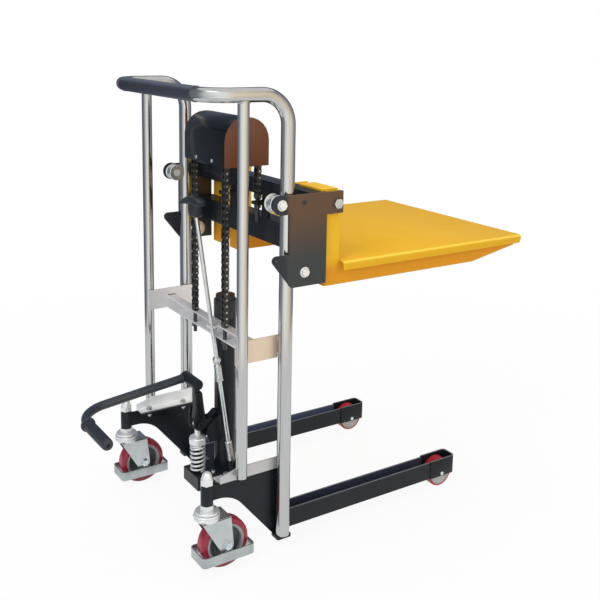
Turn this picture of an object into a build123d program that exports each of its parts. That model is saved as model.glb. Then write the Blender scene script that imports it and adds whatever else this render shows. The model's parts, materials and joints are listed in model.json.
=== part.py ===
"""Hand-pumped mast stacker: a chromed tube mast on a low base, a lifted platform and a foot pump."""

import os
from math import cos, hypot, pi, radians, sin, sqrt, tan

from build123d import *

# Driving dimensions in millimetres. Y runs forward from the front mast tubes, Z up from the floor.
# Running gaps and seams
SEAM = 0.1  # between a tube and what is welded to it or pushed on it
RUNNING = 0.1  # radial play of a shaft in its bore
SIDE_PLAY = 0.5  # end play of a turning piece

# Mast
MAST_SPAN = 530.0  # between the centre lines of the front tubes
FRONT_TUBE_D = 33.7
REAR_TUBE_D = 26.9
TUBE_WALL = 2.6
REAR_TUBE_SET = 115.0  # rear tubes behind the front tubes
TUBE_FOOT_Z = 42.0
HANDLE_Z = 1122.0
HANDLE_REACH = 200.0
HANDLE_BEND = 70.0
HANDLE_CORNER = 60.0
GRIP_LENGTH = 400.0
GRIP_WALL = 1.6
SADDLE_LAP = 6.0  # how far short of the handle's centre line the rear tubes end
REAR_TUBE_RISE = 7.0  # of the rear tubes' lower ends above the base flange's angle

# Braces of the mast
BRACE_T = 4.0
BRACE_Z = 501.0
BRACE_H = 50.0
BRACE_LAP = 10.0  # past the centre line of each tube
CHANNEL_Z = 496.0
CHANNEL_H = 34.0
CHANNEL_T = 3.0
CHANNEL_REAR = 70.0
CHANNEL_FRONT = 42.0  # web of the channel behind the front tubes
EYE_D = 22.0
EYE_T = 6.0
ANGLE_T = 4.0
ANGLE_H = 30.0
ANGLE_W = 34.0
ANGLE_REAR = 165.0
ANGLE_FRONT = 6.0

# Base
LEG_OUTER_X = 235.0
LEG_W = 43.0
LEG_H = 50.0
LEG_Z = 33.0
LEG_T = 4.5
LEG_START = -8.0
TIP_START = 506.0
TIP_END = 596.0
TIP_PROUD = 2.5
TIP_T = 4.0
BEAM_D = 50.0
BEAM_T = 4.0
SIDE_T = 8.0
SIDE_TOP = 210.0
SIDE_BOTTOM = 18.0
SIDE_FRONT = 25.0
SIDE_FLANGE_T = 5.0
ARCH_R = 83.0
ARCH_ANGLE = 50.0
FOOT_T = 9.0
FOOT_W = 32.0
FOOT_D = 40.0

# Load wheels
LOAD_WHEEL_D = 80.0
LOAD_WHEEL_W = 32.0
LOAD_TREAD = 11.0
LOAD_AXLE_D = 14.0
LOAD_AXLE_Y = 550.0

# Casters
CASTER_Y = -197.0
CASTER_TRAIL = 42.0
CASTER_D = 125.0
CASTER_W = 34.0
CASTER_TREAD = 14.0
CASTER_HUB_W = 46.0
CASTER_AXLE_D = 12.0
CASTER_FORK_GAP = 48.0
CASTER_FORK_T = 3.0
CASTER_CROWN_T = 4.0
CASTER_HEAD_D = 62.0
CASTER_HEAD_H = 12.5
RACE_D = 56.0
RACE_H = 6.0
KINGPIN_D = 16.0
STEM_D = 20.0
STEM_HEX = 30.0
STEM_HEX_H = 13.5
KINGPIN_HEAD_H = 3.5
KINGPIN_HEAD_D = 24.0
COLLAR_D = 30.0
COLLAR_Z = 167.5
CAP_NUT_H = 39.0
CAP_NUT_HEX_H = 17.0
CAP_NUT_HEX = 28.0
CASTER_EYE_R = 17.0
CASTER_FORK_REAR = 24.0  # of the fork behind the kingpin
CASTER_BOLT_HEX = 18.0
CASTER_BOLT_HEAD_H = 7.0
GUARD_H = 25.0
GUARD_T = 3.0
GUARD_Z = 26.0
GUARD_END_GAP = 4.0

# Lift cylinder and pump
RAM_Y = -17.0
CYLINDER_D = 57.0
CYLINDER_BORE = 46.0
CYLINDER_TOP = 571.0
CYLINDER_FLOOR = 8.0
GLAND_D = 60.0
GLAND_NECK_D = 50.0
GLAND_NECK_H = 12.0
ROD_D = 20.0
PISTON_Z = 451.0
PISTON_H = 30.0
BLOCK_Z = 83.0
BLOCK_H = 36.0
BLOCK_W = 84.0
BLOCK_REAR = 119.0
BLOCK_FRONT = 22.0
PLUNGER_Y = -98.0
PLUNGER_D = 16.0
PLUNGER_L = 114.0
PLUNGER_DEPTH = 24.0
BARREL_D = 24.0
BARREL_H = 51.0
SPRING_D = 39.0
SPRING_WIRE = 5.5
SPRING_H = 77.0
SPRING_TURNS = 4
SPRING_WALK = 40  # points per half turn when the gap between turns is measured
CAP_D = 42.5
CAP_H = 24.0
CAP_SKIRT = 8.0
CAP_CONE = 11.0
YOKE_PIVOT_Y = -58.0
YOKE_PIVOT_Z = 252.0
YOKE_PIN_D = 12.0
YOKE_EYE_D = 26.0
LUG_W = 22.0
YOKE_CHEEK_T = 6.0
YOKE_ROLLER_D = 26.0
YOKE_ROLLER_PIN_D = 10.0
YOKE_HEEL_Y = -92.0
YOKE_HEEL_Z = 258.0
YOKE_HEEL_D = 40.0
HUB_Y = -115.0
HUB_Z = 372.0
HUB_D = 28.0
HUB_W = 80.0
PEDAL_BAR_D = 22.0
PEDAL_X = -29.0
PEDAL_BACK = 408.0
PEDAL_BACK_Z = 337.4
PEDAL_BEND = 68.0
PEDAL_GRIP_D = 29.0
PEDAL_GRIP_L = 130.0
PEDAL_GRIP_END = 4.8  # closed end of the foot grip
PEDAL_END_X = 172.0
PEDAL_RIM = 3.5

# Release linkage
RELEASE_X = 50.0
RELEASE_BASE = (-28.0, 160.0)  # Y and Z of the universal joint
RELEASE_TOP = (-127.9, 833.0)  # Y and Z of the upper end of the rod
RELEASE_ROD_D = 10.0
SLEEVE_START = 222.0
SLEEVE_L = 66.0
SLEEVE_D = 17.0
SLEEVE_RIBS = 4
RIB_DEPTH = 1.2
JOINT_D = 17.0
JOINT_SLEEVE_L = 30.0
VALVE_D = 11.0
VALVE_DEPTH = 18.0
VALVE_BOSS = 14.0
JOINT_ARM_W = 6.0
JOINT_ARM_T = 3.0
JOINT_ARM_L = 22.0
LEVER_L = 70.0
LEVER_W = 24.0
LEVER_T = 9.0
HOLDER_D = 30.0
HOLDER_H = 42.0

# Chains and crosshead
CHAIN_X = 82.0
CHAIN_PITCH = 15.875
CHAIN_PLATE_H = 15.0
CHAIN_PLATE_T = 2.0
CHAIN_INNER_W = 9.6
CHAIN_ROLLER_D = 10.16
CHAIN_GAP = 0.3
CHAIN_PLATE_END = 6.4
WRAP_LINKS = 9
REAR_LINKS = 29
FRONT_LINKS = 9
PULLEY_Z = 999.0
PULLEY_FLANGE_T = 2.0
PULLEY_PLAY = 1.4  # between the outer link plates and each flange
PULLEY_AXLE_D = 20.0
CROSSHEAD_Z = 903.0
CROSSHEAD_W = 130.0
CROSSHEAD_D = 46.0
LEDGE_Z = 939.0
LEDGE_T = 6.0
COVER_W = 217.0
COVER_D = 123.0
COVER_Z = 936.0
COVER_TOP = 1063.0
COVER_T = 2.0
CHAIN_BOLT_D = 10.0
CHAIN_NUT = 15.0
CHAIN_NUT_H = 9.0
REAR_BOLT_L = 58.0
FRONT_BOLT_L = 56.0
CHAIN_EYE_H = 16.0
CHAIN_EYE_D = 12.0
CHAIN_EYE_DROP = 8.0  # foot of the eye below the last chain joint

# Carriage
PLATE_X = 286.0  # inner face of the side plates
PLATE_T = 8.0
PLATE_TOP = 894.0
ARM_BOTTOM = 841.0
ARM_FRONT = 139.0
PLATE_FRONT = 93.0
PLATE_BOTTOM = 676.0
EAR_R = 23.0
LUG_Y = -43.0
LUG_Z = 744.0
LUG_R = 11.0
PLATE_HEEL = -3.0
PLATE_REAR = -9.0
BOSS_D = 26.0
BOLT_RIM_T = 1.4
ROLLER_REACH = 32.0  # roller axis from the centre line of the tube
ROLLER_D = 44.0
ROLLER_W = 28.0
UPPER_ROLLER_Z = 873.0
LOWER_ROLLER_Z = 710.0
ROLLER_BOLT_D = 16.0
BOLT_HEX = 22.0
BOLT_HEAD_H = 9.0
BAR_REAR = 50.0
BAR_T = 4.0
UPPER_BAR_Z = 854.0
UPPER_BAR_H = 40.0
LOWER_BAR_Z = 738.0
LOWER_BAR_H = 60.0
BRACKET_W = 30.0
BRACKET_T = 6.0
BRACKET_LUG_Z = 835.0
BRACKET_LUG_T = 8.0
BRACKET_LUG_LAP = 9.0  # behind the line of the chain

# Forks and platform
DECK_TOP = 723.0
DECK_T = 3.0
DECK_OVERHANG = 20.5  # past the outer faces of the forks
DECK_REAR = 140.0
DECK_FRONT = 742.0
LIP_H = 22.0
LIP_REAR = 142.0
FORK_OUTER_X = 281.0
FORK_W = 143.0
FORK_T = 5.0
FORK_REAR = 97.0
FORK_SHANK_FRONT = 139.0
FORK_BOTTOM = 663.0
FORK_KNEE = 581.0
FORK_TIP = 734.0
FORK_TIP_H = 28.0
FORK_SLOT_PLAY = 5.0
FORK_BAR_D = 20.0
FORK_BAR_Y = 121.0
FORK_BAR_Z = 865.0
HOOK_W = 96.0
HOOK_REAR = 85.0
HOOK_FRONT = 131.0

# Places worked out from the driving dimensions
pedal_reach = PEDAL_BACK + PEDAL_GRIP_D / 2 + PEDAL_RIM
MAST_Y = (pedal_reach - DECK_FRONT) / 2  # puts the origin under the middle of the whole length
half_span = MAST_SPAN / 2
deck_half_w = FORK_OUTER_X + DECK_OVERHANG
front_r, rear_r = FRONT_TUBE_D / 2, REAR_TUBE_D / 2
tube_inner_x = half_span - front_r
rear_tube_x = tube_inner_x + rear_r
brace_x = tube_inner_x - SEAM
leg_inner_x = LEG_OUTER_X - LEG_W
leg_mid_x = LEG_OUTER_X - LEG_W / 2
side_outer_x = LEG_OUTER_X + SIDE_T
caster_x = side_outer_x
axle_y = CASTER_Y + CASTER_TRAIL
wheel_r = CASTER_D / 2
fork_outer = CASTER_FORK_GAP / 2 + CASTER_FORK_T
collar_h = SIDE_TOP - COLLAR_Z
race_z = COLLAR_Z - STEM_HEX_H - RACE_H
crown_top = race_z - SIDE_PLAY - CASTER_HEAD_H
crown_z = crown_top - CASTER_CROWN_T
block_top = BLOCK_Z + BLOCK_H
roller_y = PLUNGER_Y
yoke_half_w = LUG_W / 2 + SIDE_PLAY + YOKE_CHEEK_T
chain_r = CHAIN_PITCH / (2 * sin(radians(90 / WRAP_LINKS)))
chain_rear_y, chain_front_y = RAM_Y - chain_r, RAM_Y + chain_r
chain_inner_x = CHAIN_INNER_W / 2 + CHAIN_PLATE_T
chain_outer_x = chain_inner_x + CHAIN_GAP + CHAIN_PLATE_T
pulley_half_w = chain_outer_x + PULLEY_PLAY + PULLEY_FLANGE_T
roller_groove_r = (front_r + CHAIN_GAP) / cos(pi / 12)

run_y, run_z = RELEASE_TOP[0] - RELEASE_BASE[0], RELEASE_TOP[1] - RELEASE_BASE[1]
rod_length = hypot(run_y, run_z)

# Planes through the mast: seen from the side, from above, from the operator's place and along the release rod
SIDE = Plane(origin=(0, MAST_Y, 0), x_dir=(0, 1, 0), z_dir=(1, 0, 0))
FLOOR = Plane(origin=(0, MAST_Y, 0))
REAR = Plane(origin=(0, MAST_Y, 0), x_dir=(1, 0, 0), z_dir=(0, -1, 0))
ROD = Plane(
    (RELEASE_X, MAST_Y + RELEASE_BASE[0], RELEASE_BASE[1]), x_dir=(1, 0, 0), z_dir=(0, run_y, run_z)
)


def keep(builder, name):
    """Labels a finished piece and writes it as its own file."""
    builder.part.label = name
    export_step(builder.part, f"parts/{name}.step")


def hexagon(across_flats):
    """A hexagon in the open sketch, by its size across flats."""
    return RegularPolygon(across_flats / sqrt(3), 6)


os.makedirs("parts", exist_ok=True)

# Mast loop: one tube bent up one side, back to the push bar, across and down the other side
with BuildPart() as mast_loop:
    with BuildLine(FLOOR):
        FilletPolyline(
            (half_span, 0, TUBE_FOOT_Z),
            (half_span, 0, HANDLE_Z),
            (half_span, -HANDLE_REACH, HANDLE_Z),
            (-half_span, -HANDLE_REACH, HANDLE_Z),
            (-half_span, 0, HANDLE_Z),
            (-half_span, 0, TUBE_FOOT_Z),
            radius=[HANDLE_BEND, HANDLE_CORNER, HANDLE_CORNER, HANDLE_BEND],
        )
    with BuildSketch(FLOOR.offset(TUBE_FOOT_Z)):
        with Locations((half_span, 0)):
            Circle(front_r)
            Circle(front_r - TUBE_WALL, mode=Mode.SUBTRACT)
    sweep()
keep(mast_loop, "mast_loop")

# Grip sleeve pushed over the push bar
with BuildPart() as handle_grip:
    with BuildSketch(SIDE.offset(-GRIP_LENGTH / 2)):
        with Locations((-HANDLE_REACH, HANDLE_Z)):
            Circle(front_r + SEAM + GRIP_WALL)
            Circle(front_r + SEAM, mode=Mode.SUBTRACT)
    extrude(amount=GRIP_LENGTH)
keep(handle_grip, "handle_grip")

# Rear tubes, saddled under the handle and welded to the outer faces of the lower angles
rear_foot_z = SIDE_TOP + ANGLE_T + REAR_TUBE_RISE
with BuildPart() as rear_tubes:
    with BuildSketch(FLOOR.offset(rear_foot_z)):
        with Locations((rear_tube_x, -REAR_TUBE_SET), (-rear_tube_x, -REAR_TUBE_SET)):
            Circle(rear_r)
            Circle(rear_r - TUBE_WALL, mode=Mode.SUBTRACT)
    extrude(amount=HANDLE_Z - SADDLE_LAP - rear_foot_z)
    with BuildSketch(REAR.offset(REAR_TUBE_SET - FRONT_TUBE_D)):
        with Locations((half_span, HANDLE_Z), (-half_span, HANDLE_Z)):
            Circle(front_r + SEAM)
    extrude(amount=2 * FRONT_TUBE_D, mode=Mode.SUBTRACT)
keep(rear_tubes, "rear_tubes")

# Middle brace plates on the inner sides of the tubes
with BuildPart() as mid_braces:
    with BuildSketch(SIDE.offset(brace_x)):
        with Locations((-REAR_TUBE_SET / 2, BRACE_Z + BRACE_H / 2)):
            Rectangle(REAR_TUBE_SET + 2 * BRACE_LAP, BRACE_H)
    extrude(amount=-BRACE_T)
    mirror(about=Plane.YZ)
keep(mid_braces, "mid_braces")

# Middle cross channel: open to the rear, cut round the cylinder, bored in both flanges for the chain bolts,
# with an eye on its upper flange that guides the release rod
channel_half = brace_x - BRACE_T
channel_top = CHANNEL_Z + CHANNEL_H
with BuildPart() as mid_channel:
    with BuildSketch(SIDE.offset(-channel_half)):
        with BuildLine():
            FilletPolyline(
                (-CHANNEL_REAR, channel_top - CHANNEL_T / 2),
                (-CHANNEL_FRONT - CHANNEL_T / 2, channel_top - CHANNEL_T / 2),
                (-CHANNEL_FRONT - CHANNEL_T / 2, CHANNEL_Z + CHANNEL_T / 2),
                (-CHANNEL_REAR, CHANNEL_Z + CHANNEL_T / 2),
                radius=CHANNEL_T,
            )
        trace(line_width=CHANNEL_T)
    extrude(amount=2 * channel_half)
    with BuildSketch(FLOOR.offset(channel_top - EYE_T)):
        with Locations((RELEASE_X, -CHANNEL_REAR)):
            Rectangle(EYE_D, 2 * EYE_D)
    extrude(amount=EYE_T)
    with BuildSketch(FLOOR.offset(CHANNEL_Z)):
        with Locations((0, RAM_Y)):
            Circle(CYLINDER_D / 2 + SEAM)
        with Locations((CHAIN_X, chain_rear_y), (-CHAIN_X, chain_rear_y)):
            Circle(CHAIN_BOLT_D / 2 + SEAM)
    extrude(amount=CHANNEL_H, mode=Mode.SUBTRACT)
    with BuildSketch(ROD):
        Circle(RELEASE_ROD_D / 2 + RUNNING)
    extrude(amount=rod_length, mode=Mode.SUBTRACT)
keep(mid_channel, "mid_channel")

# Lower angles: one leg on the flange of the base side, the other against the tubes
with BuildPart() as lower_angles:
    with BuildSketch(REAR.offset(-ANGLE_FRONT)):
        with BuildLine():
            Polyline(
                (brace_x, SIDE_TOP),
                (brace_x, SIDE_TOP + ANGLE_H),
                (brace_x - ANGLE_T, SIDE_TOP + ANGLE_H),
                (brace_x - ANGLE_T, SIDE_TOP + ANGLE_T),
                (brace_x - ANGLE_W, SIDE_TOP + ANGLE_T),
                (brace_x - ANGLE_W, SIDE_TOP),
                close=True,
            )
        make_face()
    extrude(amount=ANGLE_REAR + ANGLE_FRONT)
    mirror(about=Plane.YZ)
keep(lower_angles, "lower_angles")

# Base sides: plates with an arched cut over each caster and a flange turned in along the top
arch_start = (CASTER_Y + COLLAR_D, COLLAR_Z + CASTER_CROWN_T)
arch_end = (
    arch_start[0] + ARCH_R * sin(radians(ARCH_ANGLE)),
    arch_start[1] - ARCH_R * (1 - cos(radians(ARCH_ANGLE))),
)
heel_y = arch_end[0] + (arch_end[1] - SIDE_BOTTOM) / tan(radians(ARCH_ANGLE))
for side, sign in (("l", -1), ("r", 1)):
    with BuildPart() as base_side:
        with BuildSketch(SIDE.offset(sign * LEG_OUTER_X)):
            with BuildLine():
                TangentArc(arch_start, arch_end, tangent=(1, 0))
                Polyline(
                    arch_end,
                    (heel_y, SIDE_BOTTOM),
                    (SIDE_FRONT, SIDE_BOTTOM),
                    (SIDE_FRONT, SIDE_TOP),
                    (CASTER_Y, SIDE_TOP),
                    (CASTER_Y, arch_start[1]),
                    arch_start,
                )
            make_face()
        extrude(amount=sign * SIDE_T)
        with BuildSketch(FLOOR.offset(SIDE_TOP)):
            with Locations((sign * (side_outer_x - ANGLE_W / 2), (ANGLE_FRONT - ANGLE_REAR) / 2)):
                Rectangle(ANGLE_W, ANGLE_REAR + ANGLE_FRONT)
        extrude(amount=-SIDE_FLANGE_T)
        with BuildSketch(FLOOR.offset(COLLAR_Z - collar_h)):
            with Locations((sign * caster_x, CASTER_Y)):
                Circle(COLLAR_D / 2 + SEAM)
        extrude(amount=3 * collar_h, mode=Mode.SUBTRACT)
    keep(base_side, f"base_side_{side}")

# Legs: channels open at the top
for side, sign in (("l", -1), ("r", 1)):
    with BuildPart() as leg:
        with BuildSketch(REAR.offset(-LEG_START)):
            with Locations((sign * leg_mid_x, LEG_Z + LEG_H / 2)):
                Rectangle(LEG_W, LEG_H)
            with Locations((sign * leg_mid_x, LEG_Z + LEG_H / 2 + LEG_T)):
                Rectangle(LEG_W - 2 * LEG_T, LEG_H, mode=Mode.SUBTRACT)
        extrude(amount=LEG_START - TIP_START)
    keep(leg, f"leg_{side}")

# Leg tips: open boxes a little wider than the legs, each round a load wheel
tip_w = LEG_W + 2 * TIP_PROUD
with BuildPart() as leg_tips:
    with BuildSketch(FLOOR.offset(LEG_Z)):
        with Locations((leg_mid_x, (TIP_START + TIP_END) / 2)):
            Rectangle(tip_w, TIP_END - TIP_START)
        with Locations((leg_mid_x, (TIP_START + TIP_END) / 2 - TIP_T)):
            Rectangle(tip_w - 2 * TIP_T, TIP_END - TIP_START, mode=Mode.SUBTRACT)
    extrude(amount=LEG_H + TIP_PROUD)
    with BuildSketch(SIDE.offset(leg_mid_x - tip_w)):
        with Locations((LOAD_AXLE_Y, LOAD_WHEEL_D / 2)):
            Circle(LOAD_AXLE_D / 2 + SEAM)
    extrude(amount=2 * tip_w, mode=Mode.SUBTRACT)
    mirror(about=Plane.YZ)
keep(leg_tips, "leg_tips")

# Base cross beam: a square tube between the legs under the pump
with BuildPart() as base_cross_beam:
    with BuildSketch(SIDE.offset(-leg_inner_x)):
        with Locations((LEG_START + BEAM_D / 2, LEG_Z + LEG_H / 2)):
            Rectangle(BEAM_D, LEG_H)
            Rectangle(BEAM_D - 2 * BEAM_T, LEG_H - 2 * BEAM_T, mode=Mode.SUBTRACT)
    extrude(amount=2 * leg_inner_x)
keep(base_cross_beam, "base_cross_beam")

# Feet of the front tubes, welded to the base sides
with BuildPart() as tube_feet:
    with BuildSketch(FLOOR.offset(TUBE_FOOT_Z)):
        with Locations((side_outer_x + FOOT_W / 2, 0)):
            RectangleRounded(FOOT_W, FOOT_D, FOOT_T / 2)
    extrude(amount=-FOOT_T)
    mirror(about=Plane.YZ)
keep(tube_feet, "tube_feet")

# Axles of the load wheels
with BuildPart() as load_axles:
    with BuildSketch(SIDE.offset(leg_mid_x - tip_w / 2)):
        with Locations((LOAD_AXLE_Y, LOAD_WHEEL_D / 2)):
            Circle(LOAD_AXLE_D / 2)
    extrude(amount=tip_w)
    mirror(about=Plane.YZ)
keep(load_axles, "load_axles")

# Load wheels: a plain core in a bonded tread, on the leg tip's axle
for side, sign in (("l", -1), ("r", 1)):
    axis = Axis((0, MAST_Y + LOAD_AXLE_Y, LOAD_WHEEL_D / 2), (1, 0, 0))
    core_r = LOAD_WHEEL_D / 2 - LOAD_TREAD
    with BuildPart() as load_wheel:
        with BuildSketch(Plane(axis.position, x_dir=(1, 0, 0), z_dir=(0, -1, 0))):
            with Locations((sign * leg_mid_x, (core_r + LOAD_AXLE_D / 2 + RUNNING) / 2)):
                Rectangle(tip_w - 2 * (TIP_T + SIDE_PLAY), core_r - LOAD_AXLE_D / 2 - RUNNING)
        revolve(axis=axis)
        with BuildSketch(Plane(axis.position, x_dir=(1, 0, 0), z_dir=(0, -1, 0))):
            with Locations((sign * leg_mid_x, core_r + SEAM + (LOAD_TREAD - SEAM) / 2)):
                tread = Rectangle(LOAD_WHEEL_W, LOAD_TREAD - SEAM)
            chamfer(tread.vertices().group_by(Axis.Z)[-1], LOAD_TREAD / 4)
        revolve(axis=axis)
    keep(load_wheel, f"load_wheel_{side}")

# Caster collars welded to the rear ends of the base sides
stem_places = ((caster_x, CASTER_Y), (-caster_x, CASTER_Y))
with BuildPart() as caster_collars:
    with BuildSketch(FLOOR.offset(COLLAR_Z)):
        with Locations(*stem_places):
            Circle(COLLAR_D / 2)
            Circle(STEM_D / 2 + SEAM, mode=Mode.SUBTRACT)
    extrude(amount=collar_h)
keep(caster_collars, "caster_collars")

# Caster stems: kingpin, upper race and hexagon in one, with a cap nut on the end above the collar
with BuildPart() as caster_stems:
    with BuildSketch(FLOOR.offset(crown_z - SIDE_PLAY)):
        with Locations(*stem_places):
            Circle(KINGPIN_HEAD_D / 2)
    extrude(amount=-KINGPIN_HEAD_H)
    with BuildSketch(FLOOR.offset(crown_z - SIDE_PLAY)):
        with Locations(*stem_places):
            Circle(KINGPIN_D / 2)
    extrude(amount=race_z - crown_z + SIDE_PLAY)
    with BuildSketch(FLOOR.offset(race_z)):
        with Locations(*stem_places):
            Circle(RACE_D / 2)
    extrude(amount=RACE_H)
    with BuildSketch(FLOOR.offset(race_z + RACE_H)):
        with Locations(*stem_places):
            hexagon(STEM_HEX)
    extrude(amount=STEM_HEX_H)
    with BuildSketch(FLOOR.offset(COLLAR_Z)):
        with Locations(*stem_places):
            Circle(STEM_D / 2)
    extrude(amount=collar_h + CAP_NUT_HEX_H / 2)
    with BuildSketch(FLOOR.offset(SIDE_TOP)):
        with Locations(*stem_places):
            hexagon(CAP_NUT_HEX)
            Circle(STEM_D / 2 + SEAM, mode=Mode.SUBTRACT)
    extrude(amount=CAP_NUT_HEX_H)
    with BuildSketch(FLOOR.offset(SIDE_TOP + CAP_NUT_HEX_H)):
        with Locations(*stem_places):
            Circle(CAP_NUT_HEX / 2)
    extrude(amount=CAP_NUT_H - CAP_NUT_HEX_H)
    chamfer(caster_stems.edges().group_by(Axis.Z)[-1], CAP_NUT_HEX / 4)
keep(caster_stems, "caster_stems")

# Casters: pressed fork with its axle bolt, guard loop round the foot of the wheel, wheel core and tread
for side, sign in (("l", -1), ("r", 1)):
    x0 = sign * caster_x
    crown_length = CASTER_FORK_REAR + CASTER_TRAIL + CASTER_EYE_R / 2
    crown_mid_y = CASTER_Y - CASTER_FORK_REAR + crown_length / 2
    with BuildPart() as caster_fork:
        with BuildSketch(FLOOR.offset(crown_z)):
            with Locations((x0, CASTER_Y)):
                Circle(CASTER_HEAD_D / 2)
            with Locations((x0, crown_mid_y)):
                Rectangle(2 * fork_outer, crown_length)
            with Locations((x0, CASTER_Y)):
                Circle(KINGPIN_D / 2 + RUNNING, mode=Mode.SUBTRACT)
        extrude(amount=CASTER_CROWN_T)
        with BuildSketch(FLOOR.offset(crown_top)):
            with Locations((x0, CASTER_Y)):
                Circle(CASTER_HEAD_D / 2)
                Circle(KINGPIN_D / 2 + RUNNING, mode=Mode.SUBTRACT)
        extrude(amount=CASTER_HEAD_H)
        for leg_x in (x0 + CASTER_FORK_GAP / 2, x0 - fork_outer):
            with BuildSketch(SIDE.offset(leg_x)):
                with Locations((axle_y, wheel_r)):
                    Circle(CASTER_EYE_R)
                with Locations((crown_mid_y, crown_z + CASTER_CROWN_T / 2)):
                    Rectangle(crown_length, CASTER_CROWN_T)
                make_hull()
                with Locations((axle_y, wheel_r)):
                    Circle(CASTER_AXLE_D / 2 + SEAM, mode=Mode.SUBTRACT)
            extrude(amount=CASTER_FORK_T)
        with BuildSketch(SIDE.offset(x0 - fork_outer - CASTER_BOLT_HEAD_H - SEAM)):
            with Locations((axle_y, wheel_r)):
                hexagon(CASTER_BOLT_HEX)
        extrude(amount=CASTER_BOLT_HEAD_H)
        with BuildSketch(SIDE.offset(x0 + fork_outer + SEAM)):
            with Locations((axle_y, wheel_r)):
                hexagon(CASTER_BOLT_HEX)
        extrude(amount=CASTER_BOLT_HEAD_H)
        with BuildSketch(SIDE.offset(x0 - fork_outer - SEAM)):
            with Locations((axle_y, wheel_r)):
                Circle(CASTER_AXLE_D / 2)
        extrude(amount=2 * (fork_outer + SEAM))
    keep(caster_fork, f"caster_fork_{side}")

    guard_length = CASTER_D + 2 * (GUARD_END_GAP + GUARD_T)
    with BuildPart() as caster_guard:
        with BuildSketch(FLOOR.offset(GUARD_Z)):
            with Locations((x0, axle_y)):
                RectangleRounded(2 * (fork_outer + GUARD_T), guard_length, 3 * GUARD_T)
                RectangleRounded(2 * fork_outer, guard_length - 2 * GUARD_T, 2 * GUARD_T, mode=Mode.SUBTRACT)
        extrude(amount=GUARD_H)
    keep(caster_guard, f"caster_guard_{side}")

    wheel_plane = Plane((x0, MAST_Y + axle_y, wheel_r), x_dir=(1, 0, 0), z_dir=(0, -1, 0))
    wheel_axis = Axis(wheel_plane.origin, (1, 0, 0))
    rim_r = wheel_r - CASTER_TREAD
    bore_r = CASTER_AXLE_D / 2 + RUNNING
    with BuildPart() as caster_core:
        with BuildSketch(wheel_plane):
            with Locations((0, bore_r)):
                Rectangle(CASTER_HUB_W, CASTER_EYE_R - bore_r, align=(Align.CENTER, Align.MIN))
                Rectangle(CASTER_W / 2, rim_r - bore_r, align=(Align.CENTER, Align.MIN))
            with Locations((0, rim_r)):
                Rectangle(CASTER_W, CASTER_TREAD / 2, align=(Align.CENTER, Align.MAX))
        revolve(axis=wheel_axis)
    keep(caster_core, f"caster_core_{side}")

    with BuildPart() as caster_tread:
        with BuildSketch(wheel_plane):
            with Locations((0, rim_r + SEAM)):
                band = Rectangle(CASTER_W, CASTER_TREAD - SEAM, align=(Align.CENTER, Align.MIN))
            chamfer(band.vertices().group_by(Axis.Z)[-1], CASTER_TREAD / 4)
        revolve(axis=wheel_axis)
    keep(caster_tread, f"caster_tread_{side}")

# Pump block: a milled block with the barrel of the plunger and the boss of the release valve
with BuildPart() as pump_block:
    with BuildSketch(FLOOR.offset(BLOCK_Z)):
        with Locations((0, (BLOCK_FRONT - BLOCK_REAR) / 2)):
            Rectangle(BLOCK_W, BLOCK_FRONT + BLOCK_REAR)
    extrude(amount=BLOCK_H)
    with BuildSketch(FLOOR.offset(block_top)):
        with Locations((RELEASE_X, RELEASE_BASE[0])):
            Rectangle(2 * VALVE_BOSS, 2 * VALVE_BOSS)
    extrude(amount=-2 * VALVE_BOSS)
    with BuildSketch(FLOOR.offset(block_top)):
        with Locations((0, PLUNGER_Y)):
            Circle(BARREL_D / 2)
    extrude(amount=BARREL_H)
    with BuildSketch(FLOOR.offset(block_top + BARREL_H)):
        with Locations((0, PLUNGER_Y)):
            Circle(PLUNGER_D / 2 + RUNNING)
    extrude(amount=-BARREL_H - PLUNGER_DEPTH, mode=Mode.SUBTRACT)
    with BuildSketch(FLOOR.offset(block_top)):
        with Locations((RELEASE_X, RELEASE_BASE[0])):
            Circle(VALVE_D / 2 + RUNNING)
    extrude(amount=-VALVE_DEPTH, mode=Mode.SUBTRACT)
keep(pump_block, "pump_block")

# Lift cylinder: a closed tube standing on the pump block
with BuildPart() as lift_cylinder:
    with BuildSketch(FLOOR.offset(block_top)):
        with Locations((0, RAM_Y)):
            Circle(CYLINDER_D / 2)
    extrude(amount=CYLINDER_TOP - block_top)
    with BuildSketch(FLOOR.offset(CYLINDER_TOP)):
        with Locations((0, RAM_Y)):
            Circle(CYLINDER_BORE / 2)
    extrude(amount=block_top + CYLINDER_FLOOR - CYLINDER_TOP, mode=Mode.SUBTRACT)
keep(lift_cylinder, "lift_cylinder")

# Gland nut over the open end of the cylinder
gland_z = channel_top
with BuildPart() as cylinder_gland:
    with BuildSketch(FLOOR.offset(gland_z)):
        with Locations((0, RAM_Y)):
            RegularPolygon(GLAND_D / 2, 12)
            Circle(CYLINDER_D / 2 + SEAM, mode=Mode.SUBTRACT)
    extrude(amount=CYLINDER_TOP - gland_z)
    with BuildSketch(FLOOR.offset(CYLINDER_TOP)):
        with Locations((0, RAM_Y)):
            RegularPolygon(GLAND_D / 2, 12)
            Circle(ROD_D / 2 + RUNNING, mode=Mode.SUBTRACT)
    extrude(amount=GLAND_NECK_H / 2)
    with BuildSketch(FLOOR.offset(CYLINDER_TOP + GLAND_NECK_H / 2)):
        with Locations((0, RAM_Y)):
            Circle(GLAND_NECK_D / 2)
            Circle(ROD_D / 2 + RUNNING, mode=Mode.SUBTRACT)
    extrude(amount=GLAND_NECK_H)
keep(cylinder_gland, "cylinder_gland")

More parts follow.
